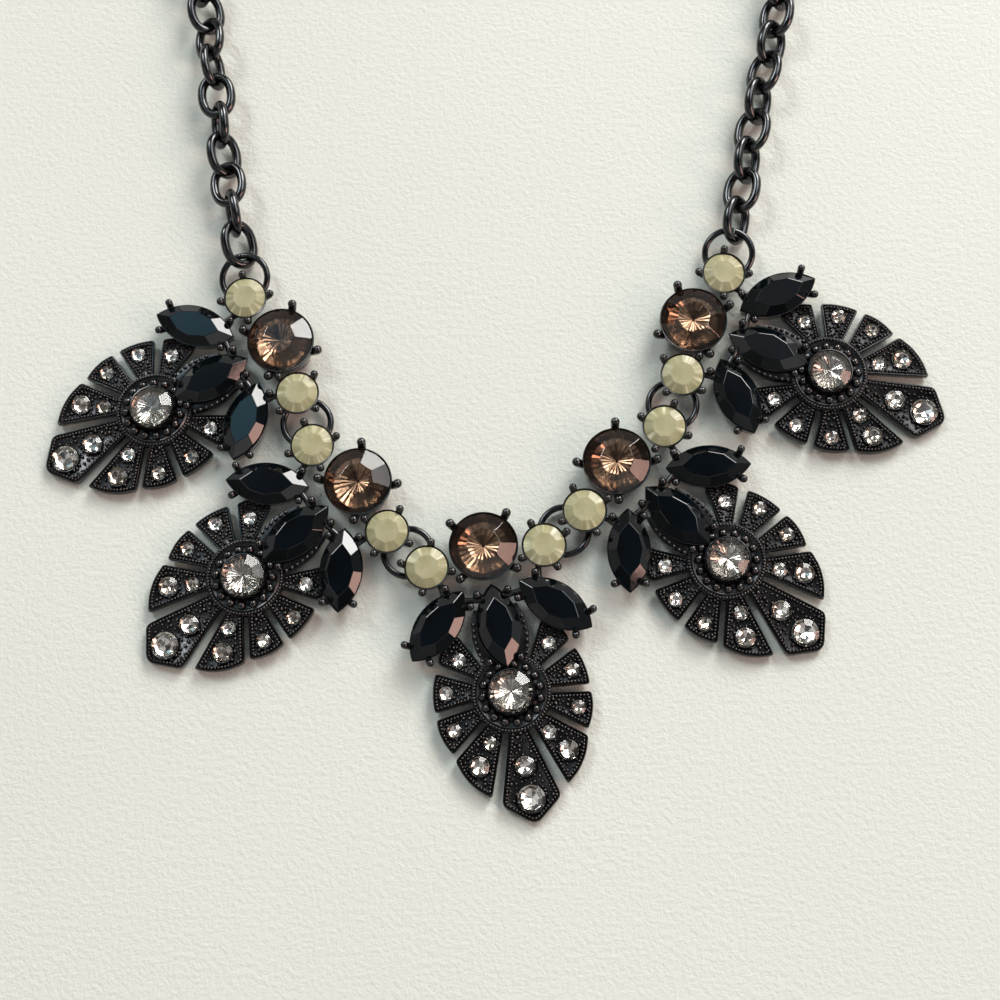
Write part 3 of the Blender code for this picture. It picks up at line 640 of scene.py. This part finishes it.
def rounded(corners, radii, steps=5):
    """The polygon with its corners rounded, each to as many points."""
    found = []
    count = len(corners)
    for index in range(count):
        before, here, after = corners[index - 1], corners[index], corners[(index + 1) % count]
        back = (before - here)
        on = (after - here)
        reach = min(radii[index], back.length * 0.45, on.length * 0.45)
        start = here + back.normalized() * reach
        end = here + on.normalized() * reach
        for step in range(steps):
            t = step / (steps - 1)
            found.append(start * (1 - t) ** 2 + here * (2 * t * (1 - t)) + end * t ** 2)
    return found


def petal_outlines():
    """Each petal's corners about the hub, with the radius of each corner."""
    inner = HUB - 1.0
    found = []

    def side_of(slot, radius, width, side):
        return slot + side * math.degrees(math.asin(width / 2 / radius))

    first, near, far = LEAF_SLOTS[0]
    end = side_of(first, leaf_edge(first), far, -1)
    start = side_of(first, inner, near, -1)
    found.append(([(-start, inner), (start, inner), (end, leaf_edge(end)), (0, LEAF), (-end, leaf_edge(end))],
                  (0.1, 0.1, 1.0, 1.6, 1.0)))
    for (low, low_near, low_far), (high, high_near, high_far) in zip(LEAF_SLOTS, LEAF_SLOTS[1:]):
        low_edge = side_of(low, leaf_edge(low), low_far, 1)
        high_edge = side_of(high, leaf_edge(high), high_far, -1)
        corners = [(side_of(low, inner, low_near, 1), inner), (low_edge, leaf_edge(low_edge))]
        radii = [0.1, 0.55]
        for share in (0.33, 0.67):
            middle = low_edge + (high_edge - low_edge) * share
            corners.append((middle, leaf_edge(middle) * 1.008))
            radii.append(2.0)
        corners += [(high_edge, leaf_edge(high_edge)), (side_of(high, inner, high_near, -1), inner)]
        radii += [0.55, 0.1]
        for side in (1, -1):
            found.append(([(side * degrees, radius) for degrees, radius in corners], radii))
    for side in (1, -1):
        found.append(([(side * degrees, share * LEAF) for degrees, share in SHOULDER],
                      (0.2, 0.5, 0.5, 0.8, 0.6, 0.2)))
    return found


# Offset and height of a petal's section, from the middle of its back to the floor of its front
PETAL_SECTION = ((0.62, -0.95), (0.50, -1.22), (0.38, -1.30), (0.10, -1.30), (0.0, -1.18), (0.0, -0.22),
                 (0.04, -0.08), (0.12, 0.0), (0.22, 0.0), (0.30, -0.08), (0.34, -0.24), (0.80, -0.24),
                 (0.84, -0.36), (0.90, -0.40))


def along(outline, pitch):
    """Evenly spaced points round a closed outline."""
    total = sum((b - a).length for a, b in zip(outline, outline[1:] + outline[:1]))
    count = max(int(total / pitch), 3)
    found = []
    travelled = 0.0
    wanted = 0.0
    for a, b in zip(outline, outline[1:] + outline[:1]):
        step = (b - a).length
        while wanted <= travelled + step and len(found) < count:
            found.append(a + (b - a) * ((wanted - travelled) / max(step, 1e-9)))
            wanted += total / count
        travelled += step
    return found


def leaf_height(spot, rise=0.0):
    return Vector((spot.x, spot.y, leaf_top(spot.length) + rise))


def inside(spot, outline):
    hit = False
    for a, b in zip(outline, outline[1:] + outline[:1]):
        if (a.y > spot.y) != (b.y > spot.y) and spot.x < (b.x - a.x) * (spot.y - a.y) / (b.y - a.y) + a.x:
            hit = not hit
    return hit


def pave_places():
    """Middle and radius of each small stone, about the hub."""
    found = []
    for across, down, radius in PAVE:
        for side in ((1, -1) if across else (1,)):
            found.append((Vector((side * across, down + HUB_DROP)), radius))
    return found


def add_petals(shape):
    stones = pave_places()
    lift = Matrix.Translation((0, -HUB_DROP, 0))
    for polar_corners, radii in petal_outlines():
        corners = [leaf_spot(degrees, radius) for degrees, radius in polar_corners]
        rings = []
        for offset, rise in PETAL_SECTION:
            loop = rounded(set_in(corners, offset), [max(radius - offset, 0.12) for radius in radii])
            rings.append([lift @ leaf_height(spot, rise) for spot in loop])
        shape.loft(rings)
        row = rounded(set_in(corners, RIM_INSET), [max(radius - RIM_INSET, 0.12) for radius in radii])
        for spot in along(row, RIM_PITCH):
            if spot.length > HUB - 0.1:
                shape.ball(lift @ leaf_height(spot, -RIM_SUNK), RIM_BEAD, 8, 3, -5)
        floor = rounded(set_in(corners, 0.95), [0.2] * len(corners))
        add_grains(shape, floor, stones, lift)


def add_grains(shape, floor, stones, lift):
    """Grains that hold the small stones, and loose ones between them."""
    placed = []
    for spot, radius in stones:
        if not inside(spot, floor):
            continue
        start = random.uniform(0, 60)
        for step in range(STONE_GRAINS):
            outward = direction(start + 360 / STONE_GRAINS * step)
            placed.append((spot + (radius + 0.26) * outward, STONE_GRAIN))
    xs = [spot.x for spot in floor]
    ys = [spot.y for spot in floor]
    for _ in range(GRAIN_TRIES):
        spot = Vector((random.uniform(min(xs), max(xs)), random.uniform(min(ys), max(ys))))
        size = random.uniform(*GRAIN_SIZES)
        if not inside(spot, floor) or spot.length < HUB:
            continue
        if any((spot - middle).length < radius + size + 0.05 for middle, radius in stones):
            continue
        if any((spot - other).length < size + radius for other, radius in placed):
            continue
        placed.append((spot, size))
    for spot, size in placed:
        shape.ball(lift @ leaf_height(spot, -0.34), size, 7, 3, -10, 1.2)


def add_collars(shape):
    """The thin wall round each small stone."""
    for spot, radius in pave_places():
        base = leaf_top(spot.length) + pave_lift(radius)
        shape.lathe(((0, base - 0.8), (radius + 0.16, base - 0.8), (radius + 0.16, base - 0.06),
                     (radius + 0.10, base + 0.03), (radius + 0.03, base + 0.02), (radius + 0.01, base - 0.04),
                     (radius + 0.01, base - 0.7), (0, base - 0.7)), 24, at(spot.x, spot.y - HUB_DROP))


def add_hub(shape):
    place = at(0, -HUB_DROP)
    girdle = CLEAR[1]
    shape.lathe(((0, 2.9), (1.2, 2.9), (3.53, 4.2), (3.55, girdle + 0.06), (3.62, girdle + 0.12),
                 (3.74, girdle + 0.1), (3.84, girdle - 0.05), (4.0, 3.4), (4.12, 3.02), (4.3, 2.9),
                 (5.3, 2.82), (5.5, 2.95), (5.72, 3.0), (5.85, 2.88), (5.95, 2.78), (6.5, 2.72),
                 (6.6, 2.6), (6.6, 1.5), (6.5, 1.4), (5.6, 1.4), (5.4, 1.7), (0, 1.7)), 48, place)
    count, bead, ring, height = HUB_BEADS
    for step in range(count):
        turn = math.radians(-176 + 352 * (step + 0.5) / count)
        shape.ball((ring * math.sin(turn), -HUB_DROP - HUB_BEADS_OFF - ring * math.cos(turn), height), bead,
                   12, 6, -10)
    count, bead, ring, height = HUB_ROPE
    for step in range(count):
        turn = 2 * math.pi * step / count
        shape.ball((ring * math.sin(turn), -HUB_DROP - ring * math.cos(turn), height), bead, 7, 4, -15)


def ball_claw(shape, spot, inward, girdle, kind):
    """A round head on a tapering post that grows from the cup's side."""
    radius, rise, low = kind
    head = Vector((*spot, girdle + rise))
    lean = Vector((*inward, 0)) * (radius * 1.5)
    path = [head + lean + Vector((0, 0, -low)), head + lean * 0.6 + Vector((0, 0, -low * 0.55)),
            head + lean * 0.15 + Vector((0, 0, -radius * 0.7)), head]
    shape.tube(path, [radius * 0.75, radius * 0.92, radius * 0.95, radius * 0.8], 10)
    shape.ball(head, radius, 14, 10)


def add_round_cups(shape):
    girdle = BROWN[1]
    shape.lathe(((0, 0), (4.9, 0), (5.1, 0.12), (5.5, 1.9), (5.72, 3.4), (5.80, 3.8), (5.80, girdle + 0.1),
                 (5.72, girdle + 0.2), (5.60, girdle + 0.18), (5.52, girdle + 0.05), (5.50, girdle - 0.3),
                 (2.6, 2.0), (0, 1.4)), 56)
    for degrees in (45, 135, 225, 315):
        outward = direction(degrees)
        ball_claw(shape, outward * BROWN_CLAW_REACH, -outward, girdle, BROWN_CLAW)
    girdle = OPAL[1]
    for side, spot in OPALS.items():
        shape.lathe(((0, 2.3), (2.9, 2.3), (3.1, 2.42), (3.5, 3.3), (3.75, 3.9), (3.76, girdle + 0.1),
                     (3.70, girdle + 0.18), (3.60, girdle + 0.16), (3.52, girdle + 0.04),
                     (3.50, girdle - 0.2), (1.8, 3.0), (0, 2.9)), 40, at(*spot))
        for degrees in (20, 110, 200, 290):
            outward = direction(degrees if side == "right" else 180 - degrees)
            ball_claw(shape, spot + outward * OPAL_CLAW_REACH, -outward, girdle, OPAL_CLAW)


def navette_places():
    return (("left", at(*SIDE_NAVETTES["left"], 180 + NAVETTE_TURN)), ("middle", at(*MIDDLE_NAVETTE, -90)),
            ("right", at(*SIDE_NAVETTES["right"], -NAVETTE_TURN)))


def add_navette_cups(shape):
    section = ((-1.6, 1.25), (-0.6, 1.02), (-0.35, 1.0), (-0.2, 1.12), (-0.02, 2.3), (0.12, 3.2), (0.2, 3.48),
               (0.2, 3.58), (0.15, 3.63), (0.08, 3.63), (0.03, 3.58), (0.02, 3.4), (-1.4, 2.3))
    for _, place in navette_places():
        rings = [[(x, y, height) for x, y in navette_outline(grow, 20)] for grow, height in section]
        shape.loft(rings, place)
        for across in (1, -1):
            for side in (1, -1):
                spot = place @ Vector((5.7 * across, 2.6 * side, 0))
                wall = place @ Vector((5.1 * across, 1.6 * side, 0))
                inward = (wall - spot).normalized()
                ball_claw(shape, (spot.x, spot.y), (inward.x, inward.y), NAVETTE_GIRDLE, NAVETTE_CLAW)


def add_bars(shape):
    """Bars between the cups, and the eyes under the opals that the rings pass through."""
    for side, spot in OPALS.items():
        sign = 1 if side == "right" else -1
        navette = SIDE_NAVETTES[side]
        turn = math.radians(-NAVETTE_TURN)
        inner = navette - Vector((sign * math.cos(turn), math.sin(turn))) * 5.0
        middle_side = Vector((sign * 1.2, inner.y - 0.5))
        shape.tube([(*middle_side, 3.0), (*((middle_side + inner) / 2), 3.15), (*inner, 3.0)],
                   [0.62, 0.5, 0.62], 10)
        start = spot + (inner - spot).normalized() * 3.1
        end = spot + (inner - spot) * 0.8 + Vector((sign * 1.0, 0))
        shape.tube([(*start, 3.0), (*((start + end) / 2), 3.05), (*end, 3.0)], [0.62, 0.5, 0.62], 10)
        path = []
        for step in range(13):
            bend = math.radians(180 + 15 * step)
            path.append((1.7 * math.cos(bend), 0, 1.75 + 1.2 * math.sin(bend)))
        path = [(-1.7, 0, 2.7)] + path + [(1.7, 0, 2.7)]
        out = Vector((math.cos(math.radians(20)) * 0.6 * sign, math.sin(math.radians(20)) * 0.6))
        shape.tube(path, 0.42, 10, False, at(spot.x + out.x, spot.y + out.y, sign * 20))


# One side of the plate beside the middle navette: across and down
APRON = ((2.6, 10.6), (3.6, 10.0), (4.35, 12.2), (4.75, 14.9), (4.45, 17.0), (3.8, 18.7), (3.2, 20.4),
         (1.2, 20.0), (2.0, 17.0))


def add_aprons(shape):
    """The plates beside the middle navette, each with a row of beads."""
    for side in (1, -1):
        corners = [Vector((side * across, -down)) for across, down in APRON]
        rings = []
        for offset, height in ((0.3, 1.5), (0.05, 1.5), (0.0, 1.6), (0.0, 2.75), (0.08, 2.9), (0.3, 2.95)):
            loop = rounded(set_in(corners, offset), [0.4] * len(corners), 3)
            rings.append([(spot.x, spot.y, height) for spot in loop])
        shape.loft(rings)
        for step in range(7):
            down = 12.6 + 1.02 * step
            across = 4.28 - 0.035 * (step - 2.2) ** 2
            shape.ball((side * across, -down, 2.95), 0.36, 9, 4, -10)


def casting_mesh():
    shape = Shape()
    add_round_cups(shape)
    add_navette_cups(shape)
    add_bars(shape)
    add_aprons(shape)
    add_hub(shape)
    add_petals(shape)
    add_collars(shape)
    return shape.mesh("casting", 40)


def tilted(most):
    """A small lean, as of a stone that is set by hand."""
    return (Matrix.Rotation(math.radians(random.uniform(-most, most)), 4, "X")
            @ Matrix.Rotation(math.radians(random.uniform(-most, most)), 4, "Y"))


def pave_lift(radius):
    return 0.15 * (radius - PAVE[0][2])


def pave_mesh():
    """The small stones of one leaf in one mesh."""
    bm = bmesh.new()
    for index, (spot, radius) in enumerate(pave_places()):
        stone = round_gem("pave", (radius, 0.0, radius * 0.26), PAVE_TABLE)
        height = leaf_top(spot.length) + pave_lift(radius)
        stone.transform(Matrix.Translation(Vector((spot.x, spot.y - HUB_DROP, height)) * MM)
                        @ tilted(3.0) @ at(0, 0, 29 * index))
        bm.from_mesh(stone)
    mesh = bpy.data.meshes.new("pave")
    bm.to_mesh(mesh)
    bm.free()
    return mesh


# Chain

def smooth_route(points):
    ends = [2 * points[0] - points[1]] + points + [2 * points[-1] - points[-2]]
    found = []
    for before, start, end, after in zip(ends, ends[1:], ends[2:], ends[3:]):
        for step in range(24):
            t = step / 24
            found.append(0.5 * (2 * start + (end - before) * t
                                + (2 * before - 5 * start + 4 * end - after) * t * t
                                + (3 * start - before - 3 * end + after) * t * t * t))
    return found + [points[-1]]


def route_length(route):
    return sum((end - start).length for start, end in zip(route, route[1:]))


def along_route(route, distance):
    for start, end in zip(route, route[1:]):
        step = (end - start).length
        if distance <= step:
            return start + (end - start) * (distance / step)
        distance -= step
    return route[-1]


def fitted_route(side, start, end, length):
    """The CAD's route: its free part swung until it has the chain's length."""
    seen = CHAIN_ROUTE[side][SEEN_POINTS][1]

    def swung(swing):
        points = [start]
        for x, y in CHAIN_ROUTE[side]:
            free = min(max((y - seen) / (LOOP_TOP[1] - seen), 0), 1)
            points.append(Vector((x * (1 + (swing - 1) * math.sin(math.pi * free)), y)))
        return smooth_route(points + [end])

    low, high = 0.5, 2.0
    for _ in range(40):
        swing = (low + high) / 2
        if route_length(swung(swing)) > length:
            high = swing
        else:
            low = swing
    return swung(low)


def link_frame(start, end, roll):
    """Frame of a loop whose long side runs from start to end, rolled about it."""
    lengthwise = (end - start).normalized()
    side = lengthwise.cross(Vector((0, 0, 1))).normalized()
    up = side.cross(lengthwise)
    turn = math.radians(roll)
    across = side * math.cos(turn) + up * math.sin(turn)
    turned = Matrix((lengthwise, across, lengthwise.cross(across))).transposed().to_4x4()
    return Matrix.Translation((start + end) / 2) @ turned


def chain_joints(side, opal, toward_clasp):
    toward = (Vector(CHAIN_ROUTE[side][0]) - opal).normalized()
    ring_tip = opal + toward * (END_RING_OUT + 2 * RING_RADIUS)
    first = ring_tip - toward * ((RING_WIRE + LINK_WIRE) / 2 + GAP - JOINT_TO_TIP)
    rough = smooth_route([first] + [Vector(spot) for spot in CHAIN_ROUTE[side]] + [toward_clasp])
    rolls, pair = LINK_ROLLS[side]
    pairs = round((route_length(rough) / LINK_PITCH - len(rolls)) / 2)
    count = len(rolls) + 2 * pairs
    route = fitted_route(side, first, toward_clasp, count * LINK_PITCH)
    rolls = [rolls[step] if step < len(rolls) else pair[(step - len(rolls)) % 2] for step in range(count)]
    reach = (LINK_WIDTH - LINK_WIRE) / 2
    heights = [reach * abs(math.sin(math.radians(roll))) + LINK_WIRE / 2 for roll in rolls]
    joints = []
    for step in range(count + 1):
        spot = along_route(route, step * LINK_PITCH)
        joints.append(spot.to_3d() + Vector((0, 0, max(heights[max(step - 1, 0):step + 1]))))
    return joints, rolls, ring_tip


def loop_path(half_length, half_width, steps, bulge=2.25):
    """A rounded oval in the XY plane."""
    found = []
    for k in range(steps):
        turn = 2 * math.pi * k / steps
        x, y = math.cos(turn), math.sin(turn)
        found.append((half_length * math.copysign(abs(x) ** (2 / bulge), x),
                      half_width * math.copysign(abs(y) ** (2 / bulge), y), 0))
    return found


def ring_mesh():
    """A jump ring with its cut nearly closed."""
    shape = Shape()
    path = []
    for k in range(49):
        turn = math.radians(1.2 + 357.6 * k / 48)
        path.append((RING_RADIUS * math.cos(turn), RING_RADIUS * math.sin(turn), 0))
    shape.tube(path, RING_WIRE / 2, 14)
    return shape.mesh("ring")


def add_rings_and_chain():
    ring = ring_mesh()
    for name in ("right_inner", "right_outer", "left_inner", "left_outer"):
        middle = centre("ring_" + name)
        place = at(middle.x, middle.y, 40 if name.startswith("right") else 150, RING_HEIGHT)
        piece("jump_ring_" + name, ring, [WIRE], place, ["ring_" + name])
    lap = {"left": (LINK_WIRE + HOOK_WIRE) / 2 + GAP - JOINT_TO_TIP,
           "right": (LINK_WIRE + CLASP_EYE_WIRE) / 2 + GAP - JOINT_TO_TIP}
    ends = {}
    for side, sign in (("left", -1), ("right", 1)):
        opal = centre(f"opal_{side}_end_{side}").to_2d()
        toward_clasp = Vector(LOOP_TOP) + Vector((sign * (CLASP_SPAN / 2 - lap[side]), 0))
        joints, rolls, ring_tip = chain_joints(side, opal, toward_clasp)
        shape = Shape()
        length, width, wire = SHOWN_LINK
        path = loop_path((length - wire) / 2, (width - wire) / 2, 32)
        for start, end, roll in zip(joints, joints[1:], rolls):
            shape.tube(path, wire / 2 * random.uniform(0.97, 1.0), 12, True,
                       link_frame(start, end, roll + random.uniform(-3, 3)))
        piece("cable_chain_" + side, shape.mesh("cable_chain_" + side), [WIRE], None, ["chain_" + side])
        ends[side] = joints[-1] + Vector((sign * lap[side], 0, 0))
        toward = (ring_tip - opal).normalized()
        start = (ring_tip - toward * 2 * RING_RADIUS).to_3d() + Vector((0, 0, RING_HEIGHT))
        end = ring_tip.to_3d() + Vector((0, 0, joints[0].z))
        piece("last_ring_" + side, ring, [WIRE], link_frame(start, end, END_RING_ROLL[side]),
              ["end_ring_" + side])
    add_clasp(ends["left"], ends["right"])


def add_clasp(start, end):
    """A small lobster clasp: a hook that thickens to its neck, a lever and an eye."""
    lengthwise = (end - start).normalized()
    shape = Shape()
    hook = link_frame(start, start + lengthwise * HOOK_SPAN, CLASP_ROLL)
    path = loop_path(HOOK_SPAN / 2, HOOK_RADIUS, 40, 2.1)
    radii = [HOOK_WIRE / 2 * (0.86 + 0.14 * math.cos(2 * math.pi * k / 40)) for k in range(40)]
    shape.tube(path, radii, 12, True, hook)
    shape.tube([(1.6, -2.2, 0), (2.4, -3.0, 0), (3.2, -3.3, 0)], [0.5, 0.45, 0.35], 8, False, hook)
    eye = link_frame(end - lengthwise * CLASP_EYE_SPAN, end, CLASP_ROLL)
    shape.tube(loop_path(CLASP_EYE_RADIUS, CLASP_EYE_RADIUS, 32, 2.0), CLASP_EYE_WIRE / 2, 12, True, eye)
    neck = [(-CLASP_EYE_RADIUS - 0.9, 0, 0), (-CLASP_EYE_RADIUS + 0.2, 0, 0)]
    shape.tube(neck, [0.9, 0.75], 12, False, eye)
    piece("lobster_clasp", shape.mesh("lobster_clasp"), [WIRE], None, ["clasp"])


def leaning(x, y, height, most):
    """A place that leans a little about a point of the given height."""
    return Matrix.Translation((x, y, height)) @ tilted(most) @ Matrix.Translation((0, 0, -height))


def add_stations():
    casting = casting_mesh()
    pave = pave_mesh()
    brown = star_gem("brown", BROWN, BROWN_TABLE, 5)
    opal = round_gem("opal", OPAL, OPAL_TABLE, (4, 5))
    clear = star_gem("clear", CLEAR, CLEAR_TABLE, 9)
    navette = navette_gem()
    for number, name in enumerate(NAMES):
        station = STATION[name]
        piece("casting_" + name, casting, [CAST], station, ["setting_" + name])
        piece("pave_" + name, pave, [CLEAR_GLASS, PAVE_FOIL], station, ())
        turn = FACET_TURN[name] - math.degrees(station.to_euler().z)
        piece("smoky_stone_" + name, brown, [BROWN_GLASS, BROWN_FOIL],
              station @ leaning(0, 0, BROWN[1], 1.5) @ at(0, 0, turn - 22.5),
              ["brown_" + name])
        piece("round_stone_" + name, clear, [CLEAR_GLASS, CLEAR_FOIL],
              station @ leaning(0, -HUB_DROP, CLEAR[1], 2.0) @ at(0, 0, 23 * number + HUB_TURN),
              ["clear_" + name])
        for side, spot in OPALS.items():
            piece(f"milky_stone_{name}_{side}", opal, [OPAL_GLASS, OPAL_GLASS],
                  station @ leaning(*spot, OPAL[1], 2.0) @ at(0, 0, random.uniform(0, 45)),
                  [f"opal_{name}_{side}"])
        for side, place in navette_places():
            lean, bearing = LOOSE.get((name, side), (0, 90))
            turned = Matrix.Rotation(math.radians(lean), 4, direction(bearing).to_3d())
            piece(f"dark_stone_{name}_{side}", navette, [BLACK, BLACK],
                  station @ place @ leaning(0, 0, NAVETTE_GIRDLE, 1.2) @ turned,
                  [f"navette_{name}_{side}"])


# Floor, light and camera

def add_floor():
    mesh = bpy.data.meshes.new("floor")
    corners = [(FLOOR_HALF * x, FLOOR_HALF * y, 0) for x, y in ((-1, -1), (1, -1), (1, 1), (-1, 1))]
    mesh.from_pydata(corners, [], [(0, 1, 2, 3)])
    finish, tree, shader = node_tree("pale_floor")
    tone = ramp(tree, noise(tree, 8.0, 2.0), ((0.3, (0.745, 0.77, 0.70)), (0.7, (0.775, 0.80, 0.73))))
    tree.links.new(tone, shader.inputs["Base Color"])
    shader.inputs["Roughness"].default_value = 0.55
    shader.inputs["Specular IOR Level"].default_value = 0.3
    bump(tree, shader, noise(tree, 1100.0, 2.5, 0.65), 0.6, 0.0003)
    mesh.materials.append(finish)
    floor = bpy.data.objects.new("floor", mesh)
    bpy.context.scene.collection.objects.link(floor)


def add_lamp(name, kind, energy, spot):
    """A lamp at the spot that looks at the origin."""
    lamp = bpy.data.lights.new(name, kind)
    lamp.energy = energy
    item = bpy.data.objects.new(name, lamp)
    item.location = spot
    item.rotation_euler = Vector(spot).to_track_quat("Z", "Y").to_euler()
    bpy.context.scene.collection.objects.link(item)
    return lamp


def add_lamps():
    """Broad far lamps, and a weak panel beside the object that makes the floor's far right brighter."""
    for name, bearing, height, width, strength, color in LAMPS:
        turn, rise = math.radians(bearing), math.radians(height)
        spot = (math.cos(turn) * math.cos(rise), math.sin(turn) * math.cos(rise), math.sin(rise))
        lamp = add_lamp(name, "SUN", strength, spot)
        lamp.angle = math.radians(width)
        lamp.color = color
    add_lamp("near", "AREA", NEAR_WATTS, NEAR_PLACE).size = NEAR_SIZE


def add_world():
    """A pale horizon, a dark band, patches of light above it, a dark top and a blue glow."""
    world = bpy.data.worlds.new("studio")
    bpy.context.scene.world = world
    world.use_nodes = True
    tree = world.node_tree
    sight = tree.nodes.new("ShaderNodeTexCoord").outputs["Generated"]
    split = tree.nodes.new("ShaderNodeSeparateXYZ")
    tree.links.new(sight, split.inputs[0])
    height = split.outputs["Z"]

    def joined(operation, first, second):
        node = tree.nodes.new("ShaderNodeVectorMath")
        node.operation = operation
        tree.links.new(first, node.inputs[0])
        tree.links.new(second, node.inputs["Scale" if operation == "SCALE" else 1])
        return node.outputs["Vector"]

    tone = ramp(tree, height, SKY)
    level = spread(tree, noise(tree, 3.6, 1.0, spot=sight), 0.35, 1.6, 0.43, 0.57)
    patched = mixed(tree, spread(tree, height, 0.0, 1.0, 0.34, 0.5), tone, joined("SCALE", tone, level))
    toward = tree.nodes.new("ShaderNodeVectorMath")
    toward.operation = "DOT_PRODUCT"
    toward.inputs[1].default_value = Vector(GLOW_TOWARD).normalized()
    tree.links.new(sight, toward.inputs[0])
    glow = ramp(tree, toward.outputs["Value"], GLOW)
    tree.links.new(joined("ADD", patched, glow), tree.nodes["Background"].inputs["Color"])


def add_camera():
    lens = bpy.data.cameras.new("camera")
    lens.lens = LENS_LENGTH
    lens.sensor_width = SENSOR_WIDTH
    lens.clip_start = 0.01
    camera = bpy.data.objects.new("camera", lens)
    camera.location = CAMERA_PLACE
    camera.rotation_euler = [math.radians(turn) for turn in CAMERA_TILT]
    bpy.context.scene.collection.objects.link(camera)
    bpy.context.scene.camera = camera


add_camera()
add_stations()
add_rings_and_chain()
add_floor()
add_world()
add_lamps()
bpy.context.scene.view_settings.view_transform = "Standard"
